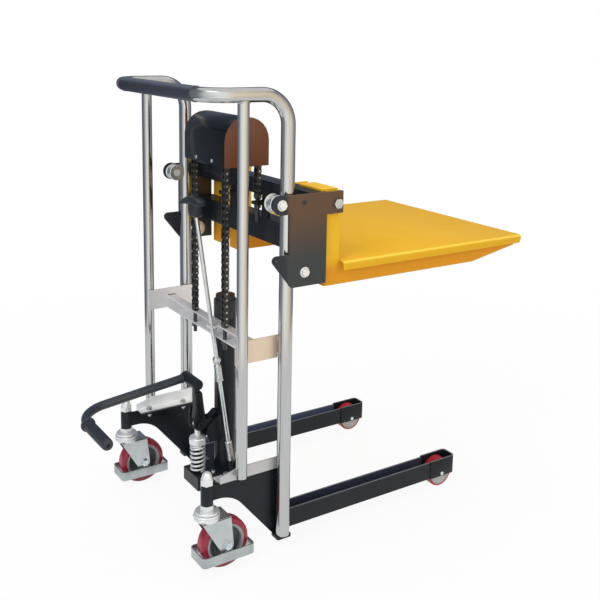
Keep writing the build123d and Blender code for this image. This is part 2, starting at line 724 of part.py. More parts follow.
# Yoke bracket: a lug on the back of the cylinder with the pivot pin through it
with BuildPart() as yoke_bracket:
    with BuildSketch(SIDE.offset(-LUG_W / 2)):
        with Locations((YOKE_PIVOT_Y, YOKE_PIVOT_Z)):
            Circle(YOKE_EYE_D / 2)
        with Locations((RAM_Y - CYLINDER_D / 2, YOKE_PIVOT_Z)):
            Rectangle(YOKE_EYE_D / 2, 2 * YOKE_EYE_D)
        make_hull()
    extrude(amount=LUG_W)
    with BuildSketch(FLOOR.offset(YOKE_PIVOT_Z - 2 * YOKE_EYE_D)):
        with Locations((0, RAM_Y)):
            Circle(CYLINDER_D / 2 + SEAM)
    extrude(amount=4 * YOKE_EYE_D, mode=Mode.SUBTRACT)
    with BuildSketch(SIDE.offset(-yoke_half_w - SIDE_PLAY)):
        with Locations((YOKE_PIVOT_Y, YOKE_PIVOT_Z)):
            Circle(YOKE_PIN_D / 2)
    extrude(amount=2 * (yoke_half_w + SIDE_PLAY))
keep(yoke_bracket, "yoke_bracket")

# Pump yoke: two cheeks, each an arm down from the hub of the pedal to a broad heel at the roller's pin,
# and a link from there to the pivot
with BuildPart() as pump_yoke:
    for cheek_x in (-yoke_half_w, yoke_half_w - YOKE_CHEEK_T):
        with BuildSketch(SIDE.offset(cheek_x)):
            with Locations((YOKE_HEEL_Y, YOKE_HEEL_Z)):
                Circle(YOKE_HEEL_D / 2)
            with Locations((HUB_Y, HUB_Z)):
                Circle(HUB_D / 2)
            make_hull()
        extrude(amount=YOKE_CHEEK_T)
        with BuildSketch(SIDE.offset(cheek_x)):
            with Locations((YOKE_PIVOT_Y, YOKE_PIVOT_Z)):
                Circle(YOKE_EYE_D / 2)
            with Locations((roller_y, YOKE_PIVOT_Z)):
                Circle(YOKE_ROLLER_PIN_D)
            make_hull()
        extrude(amount=YOKE_CHEEK_T)
        with BuildSketch(SIDE.offset(cheek_x)):
            with Locations((YOKE_PIVOT_Y, YOKE_PIVOT_Z)):
                Circle(YOKE_PIN_D / 2 + RUNNING)
        extrude(amount=YOKE_CHEEK_T, mode=Mode.SUBTRACT)
    with BuildSketch(SIDE.offset(-yoke_half_w)):
        with Locations((roller_y, YOKE_PIVOT_Z)):
            Circle(YOKE_ROLLER_PIN_D / 2)
    extrude(amount=2 * yoke_half_w)
    with BuildSketch(SIDE.offset(-HUB_W / 2)):
        with Locations((HUB_Y, HUB_Z)):
            Circle(HUB_D / 2)
    extrude(amount=HUB_W)
keep(pump_yoke, "pump_yoke")

# Roller of the yoke, which presses the plunger
with BuildPart() as yoke_roller:
    with BuildSketch(SIDE.offset(-LUG_W / 2)):
        with Locations((roller_y, YOKE_PIVOT_Z)):
            Circle(YOKE_ROLLER_D / 2)
            Circle(YOKE_ROLLER_PIN_D / 2 + RUNNING, mode=Mode.SUBTRACT)
    extrude(amount=LUG_W)
keep(yoke_roller, "yoke_roller")

# Plunger with the coned cap of its return spring, whose skirt hides the top of the spring
with BuildPart() as pump_plunger:
    with BuildSketch(FLOOR.offset(YOKE_PIVOT_Z - YOKE_ROLLER_D / 2 - CHAIN_GAP)):
        with Locations((0, PLUNGER_Y)):
            Circle(PLUNGER_D / 2)
    extrude(amount=-PLUNGER_L)
    with BuildSketch(FLOOR.offset(block_top + SPRING_H - CAP_SKIRT)):
        with Locations((0, PLUNGER_Y)):
            Circle(CAP_D / 2)
            Circle(SPRING_D / 2 + 2 * CHAIN_GAP, mode=Mode.SUBTRACT)
    extrude(amount=CAP_SKIRT)
    with BuildSketch(FLOOR.offset(block_top + SPRING_H)):
        with Locations((0, PLUNGER_Y)):
            Circle(CAP_D / 2)
    extrude(amount=CAP_H - CAP_CONE)
    with BuildSketch(FLOOR.offset(block_top + SPRING_H + CAP_H - CAP_CONE)):
        with Locations((0, PLUNGER_Y)):
            Circle(CAP_D / 2)
    with BuildSketch(FLOOR.offset(block_top + SPRING_H + CAP_H)):
        with Locations((0, PLUNGER_Y)):
            Circle(PLUNGER_D / 2 + RUNNING)
    loft()
keep(pump_plunger, "pump_plunger")

# Return spring: closed end turns and open turns between, wound as one tube of arcs
coil_r = (SPRING_D - SPRING_WIRE) / 2
closed_pitch = SPRING_WIRE + 2 * CHAIN_GAP
coil_z = block_top + SPRING_WIRE / 2 + CHAIN_GAP
coil_rise = SPRING_H - SPRING_WIRE - 2 * CHAIN_GAP
open_pitch = (coil_rise - 2 * closed_pitch) / SPRING_TURNS
half_turns = 2 * (SPRING_TURNS + 2)
pitches = [closed_pitch] * 2 + [open_pitch] * (half_turns - 4) + [closed_pitch] * 2
coil_points, coil_tangents = [], []
height = coil_z
for k in range(half_turns + 1):
    before, after = pitches[max(k - 1, 0)], pitches[min(k, half_turns - 1)]
    coil_points.append(Vector(coil_r * cos(k * pi), MAST_Y + PLUNGER_Y, height))
    coil_tangents.append(Vector(0, coil_r * cos(k * pi), (before + after) / (4 * pi)).normalized())
    height += after / 2
with BuildPart() as pump_spring:
    with BuildLine() as coil:
        for p0, p1, t0, t1 in zip(coil_points, coil_points[1:], coil_tangents, coil_tangents[1:]):
            span, both = p1 - p0, t0 + t1
            bend = 2 * (1 - t0.dot(t1))
            reach = (sqrt(span.dot(both) ** 2 + bend * span.dot(span)) - span.dot(both)) / bend
            corner_0, corner_1 = p0 + t0 * reach, p1 - t1 * reach
            middle = (corner_0 + corner_1) * 0.5
            TangentArc(p0, middle, tangent=t0)
            TangentArc(middle, p1, tangent=corner_1 - corner_0)
    with BuildSketch(Plane(coil.wires()[0] @ 0, z_dir=coil.wires()[0] % 0)):
        RegularPolygon(SPRING_WIRE / 2, 8)
    sweep(path=coil.wires()[0])
keep(pump_spring, "pump_spring")
coil_walk = [coil.wires()[0] @ (i / (SPRING_WALK * half_turns)) for i in range(SPRING_WALK * half_turns + 1)]
apart = [(a - b).length for i, a in enumerate(coil_walk) for b in coil_walk[i + SPRING_WALK :]]
print("least gap between turns of the spring", round(min(apart) - SPRING_WIRE, 2))

# Pedal bar: from the hub back and down, bent sideways to the foot grip
with BuildPart() as pedal_bar:
    with BuildLine(FLOOR) as pedal_path:
        FilletPolyline(
            (PEDAL_X, HUB_Y, HUB_Z),
            (PEDAL_X, -PEDAL_BACK, PEDAL_BACK_Z),
            (PEDAL_END_X - PEDAL_GRIP_END, -PEDAL_BACK, PEDAL_BACK_Z),
            radius=PEDAL_BEND,
        )
    with BuildSketch(Plane(pedal_path.wires()[0] @ 0, z_dir=pedal_path.wires()[0] % 0)):
        Circle(PEDAL_BAR_D / 2)
    sweep(path=pedal_path.wires()[0])
    with BuildSketch(SIDE.offset(-HUB_W)):
        with Locations((HUB_Y, HUB_Z)):
            Circle(HUB_D / 2 + SEAM)
    extrude(amount=2 * HUB_W, mode=Mode.SUBTRACT)
keep(pedal_bar, "pedal_bar")

# Foot grip: a closed rubber sleeve with a rim at its inner end
with BuildPart() as pedal_grip:
    with BuildSketch(SIDE.offset(PEDAL_END_X - PEDAL_GRIP_L)):
        with Locations((-PEDAL_BACK, PEDAL_BACK_Z)):
            Circle(PEDAL_GRIP_D / 2 + PEDAL_RIM)
    extrude(amount=PEDAL_RIM)
    with BuildSketch(SIDE.offset(PEDAL_END_X - PEDAL_GRIP_L)):
        with Locations((-PEDAL_BACK, PEDAL_BACK_Z)):
            Circle(PEDAL_GRIP_D / 2)
    extrude(amount=PEDAL_GRIP_L)
    with BuildSketch(SIDE.offset(PEDAL_END_X - PEDAL_GRIP_L)):
        with Locations((-PEDAL_BACK, PEDAL_BACK_Z)):
            Circle(PEDAL_BAR_D / 2 + SEAM)
    extrude(amount=PEDAL_GRIP_L - PEDAL_GRIP_END, mode=Mode.SUBTRACT)
keep(pedal_grip, "pedal_grip")

# Release linkage: valve stem with the lower half of a universal joint
valve_base, valve_top = block_top - VALVE_DEPTH, RELEASE_BASE[1] - JOINT_ARM_L / 2
arm_gap = JOINT_D / 2 - JOINT_ARM_T
with BuildPart() as valve_stem:
    with BuildSketch(FLOOR.offset(valve_base)):
        with Locations((RELEASE_X, RELEASE_BASE[0])):
            Circle(VALVE_D / 2)
    extrude(amount=valve_top - valve_base)
    with BuildSketch(FLOOR.offset(valve_top - JOINT_ARM_T)):
        with Locations((RELEASE_X, RELEASE_BASE[0])):
            Circle(JOINT_D / 2)
    extrude(amount=JOINT_ARM_T)
    with BuildSketch(FLOOR.offset(valve_top)):
        for arm in (-1, 1):
            with Locations((RELEASE_X + arm * (arm_gap + JOINT_ARM_T / 2), RELEASE_BASE[0])):
                Rectangle(JOINT_ARM_T, JOINT_ARM_W)
    extrude(amount=JOINT_ARM_L / 2 + JOINT_ARM_W / 2)
keep(valve_stem, "valve_stem")

# Release rod: upper half of the joint, thin rod and ribbed coupling sleeve on the slanted axis
with BuildPart() as release_rod:
    with BuildSketch(ROD.offset(JOINT_ARM_L / 2)):
        Circle(RELEASE_ROD_D / 2)
    extrude(amount=rod_length - JOINT_ARM_L / 2)
    with BuildSketch(ROD.offset(JOINT_ARM_L / 2)):
        Circle(JOINT_D / 2)
    extrude(amount=JOINT_SLEEVE_L)
    with BuildSketch(ROD.offset(JOINT_ARM_L / 2)):
        for arm in (-1, 1):
            with Locations((0, arm * (arm_gap + JOINT_ARM_T / 2))):
                Rectangle(JOINT_ARM_W, JOINT_ARM_T)
    extrude(amount=-JOINT_ARM_L / 2 - JOINT_ARM_W / 2)
    with BuildSketch(ROD.offset(-JOINT_ARM_W / 2)):
        Rectangle(JOINT_ARM_W, 2 * arm_gap)
    extrude(amount=JOINT_ARM_W)
    rib = SLEEVE_L / (2 * SLEEVE_RIBS - 1)
    with BuildSketch(ROD.offset(SLEEVE_START)):
        Circle(SLEEVE_D / 2 - RIB_DEPTH)
    extrude(amount=SLEEVE_L)
    for n in range(SLEEVE_RIBS):
        with BuildSketch(ROD.offset(SLEEVE_START + 2 * n * rib)):
            Circle(SLEEVE_D / 2)
        extrude(amount=rib)
keep(release_rod, "release_rod")

# Release lever: a holder on the end of the rod with a flat paddle to the operator's left
with BuildPart() as release_lever:
    with BuildSketch(ROD.offset(rod_length - HOLDER_H / 2)):
        RectangleRounded(HOLDER_D, LEVER_W, LEVER_T / 2)
        Circle(RELEASE_ROD_D / 2 + SEAM, mode=Mode.SUBTRACT)
    extrude(amount=HOLDER_H / 2)
    with BuildSketch(ROD.offset(rod_length)):
        RectangleRounded(HOLDER_D, LEVER_W, LEVER_T / 2)
    extrude(amount=HOLDER_H / 2)
    with BuildSketch(ROD.offset(rod_length + HOLDER_H / 2 - LEVER_T)):
        with Locations((-LEVER_L / 2, 0)):
            SlotOverall(LEVER_L + LEVER_W, LEVER_W)
    extrude(amount=LEVER_T)
keep(release_lever, "release_lever")

# Piston rod with its piston, running in the cylinder and through the gland
with BuildPart() as piston_rod:
    with BuildSketch(FLOOR.offset(PISTON_Z)):
        with Locations((0, RAM_Y)):
            Circle(ROD_D / 2)
    extrude(amount=CROSSHEAD_Z - PISTON_Z)
    with BuildSketch(FLOOR.offset(PISTON_Z)):
        with Locations((0, RAM_Y)):
            Circle(CYLINDER_BORE / 2 - RUNNING)
    extrude(amount=PISTON_H)
keep(piston_rod, "piston_rod")

# Crosshead: a round-topped block bored for the pulley axle, with a ledge that carries the cover
with BuildPart() as crosshead:
    with BuildSketch(SIDE.offset(-CROSSHEAD_W / 2)):
        with Locations((RAM_Y, (CROSSHEAD_Z + PULLEY_Z) / 2)):
            Rectangle(CROSSHEAD_D, PULLEY_Z - CROSSHEAD_Z)
        with Locations((RAM_Y, PULLEY_Z)):
            Circle(CROSSHEAD_D / 2)
            Circle(PULLEY_AXLE_D / 2 + SEAM, mode=Mode.SUBTRACT)
    extrude(amount=CROSSHEAD_W)
    with BuildSketch(FLOOR.offset(LEDGE_Z)):
        with Locations((0, RAM_Y)):
            Rectangle(CROSSHEAD_W, COVER_D - 2 * COVER_T)
    extrude(amount=LEDGE_T)
keep(crosshead, "crosshead")

# Axle of the pulleys
with BuildPart() as pulley_axle:
    with BuildSketch(SIDE.offset(-COVER_W / 2 + COVER_T)):
        with Locations((RAM_Y, PULLEY_Z)):
            Circle(PULLEY_AXLE_D / 2)
    extrude(amount=COVER_W - 2 * COVER_T)
keep(pulley_axle, "pulley_axle")

# Chain pulleys: a seat for the link plates, a rib between them and a flange on each side
pulley_bore = PULLEY_AXLE_D / 2 + RUNNING
link_sag = chain_r * (1 - cos(radians(90 / WRAP_LINKS)))
seat_r = chain_r - link_sag - CHAIN_PLATE_H / 2 - CHAIN_GAP
rib_r = chain_r - CHAIN_ROLLER_D / 2 - CHAIN_GAP
with BuildPart() as chain_pulleys:
    with BuildSketch(Plane((0, MAST_Y + RAM_Y, PULLEY_Z), x_dir=(1, 0, 0), z_dir=(0, -1, 0))):
        with Locations((CHAIN_X, pulley_bore)):
            Rectangle(2 * pulley_half_w, seat_r - pulley_bore, align=(Align.CENTER, Align.MIN))
            rib_w = CHAIN_INNER_W - 4 * CHAIN_GAP
            Rectangle(rib_w, rib_r - pulley_bore, align=(Align.CENTER, Align.MIN))
        for flange in (-1, 1):
            with Locations((CHAIN_X + flange * (pulley_half_w - PULLEY_FLANGE_T / 2), pulley_bore)):
                Rectangle(PULLEY_FLANGE_T, chain_r - pulley_bore, align=(Align.CENTER, Align.MIN))
    revolve(axis=Axis((0, MAST_Y + RAM_Y, PULLEY_Z), (1, 0, 0)))
    mirror(about=Plane.YZ)
keep(chain_pulleys, "chain_pulleys")

# Chain cover: an arched sheet box over the pulleys, open below
arch_z = COVER_TOP - COVER_D / 2
with BuildPart() as chain_cover:
    for inset, mode in ((0, Mode.ADD), (COVER_T, Mode.SUBTRACT)):
        with BuildSketch(SIDE.offset(-COVER_W / 2 + inset)):
            with Locations((RAM_Y, arch_z)):
                Circle(COVER_D / 2 - inset)
            with Locations((RAM_Y, (COVER_Z + arch_z) / 2)):
                Rectangle(COVER_D - 2 * inset, arch_z - COVER_Z)
        extrude(amount=COVER_W - 2 * inset, mode=mode)
keep(chain_cover, "chain_cover")

# Chains: joint points from the rear anchor up, over the pulley and down to the carriage
rear_end_z = PULLEY_Z - REAR_LINKS * CHAIN_PITCH
front_end_z = PULLEY_Z - FRONT_LINKS * CHAIN_PITCH
rear_joints = [(chain_rear_y, rear_end_z + i * CHAIN_PITCH) for i in range(REAR_LINKS + 1)]
wrap_turn = [radians(180 - 180 * i / WRAP_LINKS) for i in range(WRAP_LINKS + 1)]
wrap_joints = [(RAM_Y + chain_r * cos(a), PULLEY_Z + chain_r * sin(a)) for a in wrap_turn]
front_joints = [(chain_front_y, PULLEY_Z - i * CHAIN_PITCH) for i in range(FRONT_LINKS + 1)]
link_half_l, link_half_h = CHAIN_PITCH / 2 + CHAIN_PLATE_END, CHAIN_PLATE_H / 2
flat_half_l, flat_half_h = CHAIN_PITCH / 2 + CHAIN_PLATE_END / 3, CHAIN_PLATE_H / 5
link_shape = [
    (link_half_l, -flat_half_h),
    (link_half_l, flat_half_h),
    (flat_half_l, link_half_h),
    (-flat_half_l, link_half_h),
    (-link_half_l, flat_half_h),
    (-link_half_l, -flat_half_h),
    (-flat_half_l, -link_half_h),
    (flat_half_l, -link_half_h),
]
for name, joints, first in (
    ("chain_rear_runs", rear_joints, 0),
    ("chain_wraps", wrap_joints, REAR_LINKS),
    ("chain_front_runs", front_joints, REAR_LINKS + WRAP_LINKS),
):
    places = {0: [], 1: []}
    for i, (a, b) in enumerate(zip(joints, joints[1:])):
        turn = Vector(b[0] - a[0], b[1] - a[1]).get_signed_angle(Vector(1, 0), Vector(0, 0, -1))
        places[(first + i) % 2].append(Location(((a[0] + b[0]) / 2, (a[1] + b[1]) / 2, 0), (0, 0, turn)))
    with BuildPart() as chain:
        for inner, x_in in ((0, chain_inner_x + CHAIN_GAP), (1, CHAIN_INNER_W / 2)):
            for x_plate in (CHAIN_X + x_in, CHAIN_X - x_in - CHAIN_PLATE_T):
                with BuildSketch(SIDE.offset(x_plate)):
                    with Locations(*places[inner]):
                        Polygon(*link_shape, align=None)
                extrude(amount=CHAIN_PLATE_T)
        with BuildSketch(SIDE.offset(CHAIN_X - CHAIN_INNER_W / 2)):
            with Locations(*places[1]):
                with Locations((CHAIN_PITCH / 2, 0), (-CHAIN_PITCH / 2, 0)):
                    RegularPolygon(CHAIN_ROLLER_D / 2, 6)
        extrude(amount=CHAIN_INNER_W)
        mirror(about=Plane.YZ)
    keep(chain, name)

# Anchor bolts of the chains: an eye in the end link, a shank through its seat and a nut below
for name, y, z_end, seat_z, length in (
    ("chain_bolts_rear", chain_rear_y, rear_end_z, CHANNEL_Z, REAR_BOLT_L),
    ("chain_bolts_front", chain_front_y, front_end_z, BRACKET_LUG_Z, FRONT_BOLT_L),
):
    eye_low = z_end - CHAIN_EYE_DROP
    with BuildPart() as chain_bolts:
        with BuildSketch(FLOOR.offset(eye_low)):
            with Locations((CHAIN_X, y)):
                Rectangle(2 * chain_inner_x - CHAIN_GAP, CHAIN_EYE_D)
        extrude(amount=CHAIN_EYE_H)
        with BuildSketch(FLOOR.offset(eye_low)):
            with Locations((CHAIN_X, y)):
                Circle(CHAIN_BOLT_D / 2)
        extrude(amount=-length)
        with BuildSketch(FLOOR.offset(seat_z)):
            with Locations((CHAIN_X, y)):
                hexagon(CHAIN_NUT)
        extrude(amount=-CHAIN_NUT_H)
        mirror(about=Plane.YZ)
    keep(chain_bolts, name)

# Carriage side plates: ear for the upper roller, arm for the fork bar, small lug behind, roller bosses inside
boss_x = half_span + ROLLER_W / 2 + SIDE_PLAY
upper_roller_y, lower_roller_y = -ROLLER_REACH, ROLLER_REACH
for side, sign in (("l", -1), ("r", 1)):
    with BuildPart() as carriage_plate:
        with BuildSketch(SIDE.offset(sign * PLATE_X)):
            with BuildLine():
                Polyline(
                    (upper_roller_y, PLATE_TOP),
                    (ARM_FRONT, PLATE_TOP),
                    (ARM_FRONT, ARM_BOTTOM),
                    (PLATE_FRONT, ARM_BOTTOM),
                    (PLATE_FRONT, PLATE_BOTTOM),
                    (PLATE_HEEL, PLATE_BOTTOM),
                    (PLATE_REAR, LUG_Z),
                    (PLATE_REAR, UPPER_ROLLER_Z - EAR_R),
                    (upper_roller_y, UPPER_ROLLER_Z - EAR_R),
                    close=True,
                )
            make_face()
            with Locations((upper_roller_y, UPPER_ROLLER_Z)):
                Circle(EAR_R)
        extrude(amount=sign * PLATE_T)
        with BuildSketch(SIDE.offset(sign * PLATE_X)):
            with Locations((LUG_Y, LUG_Z)):
                Circle(LUG_R)
            with BuildLine():
                Polyline(
                    (PLATE_HEEL, PLATE_BOTTOM),
                    (PLATE_REAR, LUG_Z + LUG_R),
                    (PLATE_REAR + LUG_R, LUG_Z),
                    close=True,
                )
            make_face()
            make_hull()
        extrude(amount=sign * PLATE_T)
        with BuildSketch(SIDE.offset(sign * boss_x)):
            with Locations((upper_roller_y, UPPER_ROLLER_Z), (lower_roller_y, LOWER_ROLLER_Z)):
                Circle(BOSS_D / 2)
        extrude(amount=sign * (PLATE_X - boss_x))
        with BuildSketch(SIDE.offset(sign * boss_x)):
            with Locations(
                (upper_roller_y, UPPER_ROLLER_Z), (lower_roller_y, LOWER_ROLLER_Z), (FORK_BAR_Y, FORK_BAR_Z)
            ):
                Circle(ROLLER_BOLT_D / 2 + SEAM)
        extrude(amount=sign * (PLATE_X + PLATE_T - boss_x), mode=Mode.SUBTRACT)
    keep(carriage_plate, f"carriage_plate_{side}")

# Carriage bolts: the axles of the four rollers, each with a hexagon head outside and a rim inside
bolt_end_x = half_span - ROLLER_W / 2 - SIDE_PLAY - BOLT_RIM_T
with BuildPart() as carriage_bolts:
    places = ((upper_roller_y, UPPER_ROLLER_Z), (lower_roller_y, LOWER_ROLLER_Z))
    with BuildSketch(SIDE.offset(bolt_end_x)):
        with Locations(*places):
            Circle(ROLLER_BOLT_D / 2)
    extrude(amount=PLATE_X + PLATE_T - bolt_end_x)
    with BuildSketch(SIDE.offset(bolt_end_x)):
        with Locations(*places):
            Circle(ROLLER_BOLT_D / 2 + BOLT_RIM_T)
    extrude(amount=BOLT_RIM_T)
    with BuildSketch(SIDE.offset(PLATE_X + PLATE_T)):
        with Locations(*places):
            hexagon(BOLT_HEX)
    extrude(amount=BOLT_HEAD_H)
    mirror(about=Plane.YZ)
keep(carriage_bolts, "carriage_bolts")

# Grooved rollers, the upper pair behind the mast tubes and the lower pair in front of them
for name, y, z in (
    ("upper_rollers", upper_roller_y, UPPER_ROLLER_Z),
    ("lower_rollers", lower_roller_y, LOWER_ROLLER_Z),
):
    bolt_bore = ROLLER_BOLT_D / 2 + RUNNING
    with BuildPart() as rollers:
        with BuildSketch(Plane((0, MAST_Y + y, z), x_dir=(1, 0, 0), z_dir=(0, -1, 0))):
            with Locations((half_span, bolt_bore)):
                Rectangle(ROLLER_W, ROLLER_D / 2 - bolt_bore, align=(Align.CENTER, Align.MIN))
            with Locations((half_span, ROLLER_REACH)):
                RegularPolygon(roller_groove_r, 12, rotation=15, mode=Mode.SUBTRACT)
        revolve(axis=Axis((0, MAST_Y + y, z), (1, 0, 0)))
        mirror(about=Plane.YZ)
    keep(rollers, name)

# Carriage crossbars: two rectangular tubes between the side plates, in front of the mast
bar_d = FORK_REAR - BAR_REAR
with BuildPart() as crossbars:
    for z, h in ((UPPER_BAR_Z, UPPER_BAR_H), (LOWER_BAR_Z, LOWER_BAR_H)):
        with BuildSketch(SIDE.offset(-PLATE_X)):
            with Locations(((BAR_REAR + FORK_REAR) / 2, z + h / 2)):
                Rectangle(bar_d, h)
                Rectangle(bar_d - 2 * BAR_T, h - 2 * BAR_T, mode=Mode.SUBTRACT)
        extrude(amount=2 * PLATE_X)
keep(crossbars, "crossbars")

# Chain brackets: a strap between the crossbars with a lug reaching back to the chain
lower_bar_top = LOWER_BAR_Z + LOWER_BAR_H
lug_rear = chain_front_y - BRACKET_LUG_LAP
with BuildPart() as chain_brackets:
    with BuildSketch(REAR.offset(-BAR_REAR)):
        with Locations((CHAIN_X, (lower_bar_top + UPPER_BAR_Z) / 2)):
            Rectangle(BRACKET_W, UPPER_BAR_Z - lower_bar_top)
    extrude(amount=-BRACKET_T)
    with BuildSketch(FLOOR.offset(BRACKET_LUG_Z)):
        with Locations((CHAIN_X, (lug_rear + BAR_REAR) / 2)):
            Rectangle(BRACKET_W, BAR_REAR - lug_rear)
        with Locations((CHAIN_X, chain_front_y)):
            Circle(CHAIN_BOLT_D / 2 + SEAM, mode=Mode.SUBTRACT)
    extrude(amount=BRACKET_LUG_T)
    mirror(about=Plane.YZ)
keep(chain_brackets, "chain_brackets")

# Fork bar: a shaft between the side plates with a hexagon head outside each
with BuildPart() as fork_bar:
    with BuildSketch(SIDE):
        with Locations((FORK_BAR_Y, FORK_BAR_Z)):
            Circle(FORK_BAR_D / 2)
    extrude(amount=PLATE_X, both=True)
    with BuildSketch(SIDE):
        with Locations((FORK_BAR_Y, FORK_BAR_Z)):
            Circle(ROLLER_BOLT_D / 2)
    extrude(amount=PLATE_X + PLATE_T, both=True)
    with BuildSketch(SIDE.offset(PLATE_X + PLATE_T)):
        with Locations((FORK_BAR_Y, FORK_BAR_Z)):
            hexagon(BOLT_HEX)
    head = extrude(amount=BOLT_HEAD_H)
    mirror(head, about=Plane.YZ)
keep(fork_bar, "fork_bar")

# Forks: folded sheet, a shank hooked over the upper crossbar and a blade open below that clears the leg
blade_top = DECK_TOP - DECK_T
slot_w = tip_w + 2 * FORK_SLOT_PLAY
bar_top = UPPER_BAR_Z + UPPER_BAR_H
for side, sign in (("l", -1), ("r", 1)):
    fork_mid_x = sign * (FORK_OUTER_X - FORK_W / 2)
    with BuildPart() as fork:
        for wall_x in (fork_mid_x - FORK_W / 2, fork_mid_x + FORK_W / 2 - FORK_T):
            with BuildSketch(SIDE.offset(wall_x)):
                with BuildLine():
                    Polyline(
                        (FORK_REAR, bar_top),
                        (FORK_SHANK_FRONT, bar_top),
                        (FORK_SHANK_FRONT, blade_top),
                        (FORK_TIP, blade_top),
                        (FORK_TIP, blade_top - FORK_TIP_H),
                        (FORK_KNEE, FORK_BOTTOM),
                        (FORK_REAR, FORK_BOTTOM),
                        close=True,
                    )
                make_face()
                with Locations((FORK_BAR_Y, FORK_BAR_Z)):
                    Circle(FORK_BAR_D / 2 + SEAM, mode=Mode.SUBTRACT)
            extrude(amount=FORK_T)
        with BuildSketch(REAR.offset(-FORK_REAR)):
            with Locations((fork_mid_x, (FORK_BOTTOM + bar_top) / 2)):
                Rectangle(FORK_W, bar_top - FORK_BOTTOM)
            with Locations((sign * leg_mid_x, FORK_BOTTOM)):
                Rectangle(slot_w, 2 * (blade_top - FORK_T - FORK_BOTTOM), mode=Mode.SUBTRACT)
        extrude(amount=-FORK_T)
        with BuildSketch(FLOOR.offset(blade_top)):
            with Locations((fork_mid_x, (FORK_REAR + FORK_TIP) / 2)):
                Rectangle(FORK_W, FORK_TIP - FORK_REAR)
        extrude(amount=-FORK_T)
        with BuildSketch(FLOOR.offset(bar_top)):
            with Locations((sign * (FORK_OUTER_X - HOOK_W / 2), (HOOK_REAR + HOOK_FRONT) / 2)):
                Rectangle(HOOK_W, HOOK_FRONT - HOOK_REAR)
        extrude(amount=FORK_T)
    keep(fork, f"fork_{side}")

# Platform deck: a sheet on the forks with its sides turned down
with BuildPart() as platform_deck:
    with BuildSketch(FLOOR.offset(DECK_TOP)):
        with Locations((0, (DECK_REAR + DECK_FRONT) / 2)):
            Rectangle(2 * deck_half_w, DECK_FRONT - DECK_REAR)
    extrude(amount=-DECK_T)
    with BuildSketch(FLOOR.offset(DECK_TOP)):
        for sign in (-1, 1):
            with Locations((sign * (deck_half_w - DECK_T / 2), (LIP_REAR + DECK_FRONT) / 2)):
                Rectangle(DECK_T, DECK_FRONT - LIP_REAR)
    extrude(amount=-LIP_H)
keep(platform_deck, "platform_deck")
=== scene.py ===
"""Dressed model of a hand-pumped mast stacker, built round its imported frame."""

import json
from math import copysign, cos, pi, radians, sin, sqrt

import bmesh
import bpy
from mathutils import Matrix, Vector

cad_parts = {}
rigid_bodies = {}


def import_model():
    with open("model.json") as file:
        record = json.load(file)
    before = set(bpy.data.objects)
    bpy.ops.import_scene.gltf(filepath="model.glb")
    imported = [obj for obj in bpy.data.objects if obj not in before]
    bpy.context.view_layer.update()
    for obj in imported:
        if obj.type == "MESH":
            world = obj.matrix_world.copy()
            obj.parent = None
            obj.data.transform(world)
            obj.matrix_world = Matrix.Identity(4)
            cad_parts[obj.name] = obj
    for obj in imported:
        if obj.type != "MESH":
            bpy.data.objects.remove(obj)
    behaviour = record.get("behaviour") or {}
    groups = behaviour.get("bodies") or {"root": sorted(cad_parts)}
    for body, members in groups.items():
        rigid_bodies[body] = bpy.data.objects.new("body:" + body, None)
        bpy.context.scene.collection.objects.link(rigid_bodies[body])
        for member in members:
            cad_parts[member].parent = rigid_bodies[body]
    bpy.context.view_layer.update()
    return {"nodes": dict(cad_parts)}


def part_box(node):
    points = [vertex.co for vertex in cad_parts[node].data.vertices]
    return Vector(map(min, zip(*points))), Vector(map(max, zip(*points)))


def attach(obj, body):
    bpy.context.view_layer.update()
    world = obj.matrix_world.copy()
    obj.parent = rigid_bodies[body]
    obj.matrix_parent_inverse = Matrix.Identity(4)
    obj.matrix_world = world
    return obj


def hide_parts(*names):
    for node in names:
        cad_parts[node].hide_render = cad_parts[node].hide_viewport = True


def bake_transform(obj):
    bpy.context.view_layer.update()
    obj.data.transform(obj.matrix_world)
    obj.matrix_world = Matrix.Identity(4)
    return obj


for leftover in list(bpy.data.objects):
    bpy.data.objects.remove(leftover)
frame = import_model()

# Mast loop: one chromed pipe, bent up one side, back to the push bar, across and down the other side.
# It is welded to a foot at each end, and everything else on the mast is set out from its front runs.
TUBE_R = 16.85
HALF_SPAN = 265.0
FOOT_Z = 42.0
HANDLE_Z = 1122.0
HANDLE_REACH = 200.0
BEND = 70.0
CORNER = 60.0
MM = 0.001
scene = bpy.context.scene
mast_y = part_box("mast_loop")[1].y / MM - TUBE_R
QUARTER = pi / 2
ALONG_X, ALONG_Y, ALONG_Z = Vector((1, 0, 0)), Vector((0, 1, 0)), Vector((0, 0, 1))


def shade(tree, kind, inputs=None, **settings):
    """Adds a shader node with its settings, each input given a value or a link; gives its outputs."""
    node = tree.nodes.new(f"ShaderNode{kind}")
    for name, value in settings.items():
        setattr(node, name, value)
    for socket, given in (inputs or {}).items():
        if isinstance(given, bpy.types.NodeSocket):
            tree.links.new(given, node.inputs[socket])
        else:
            node.inputs[socket].default_value = given
    return node.outputs


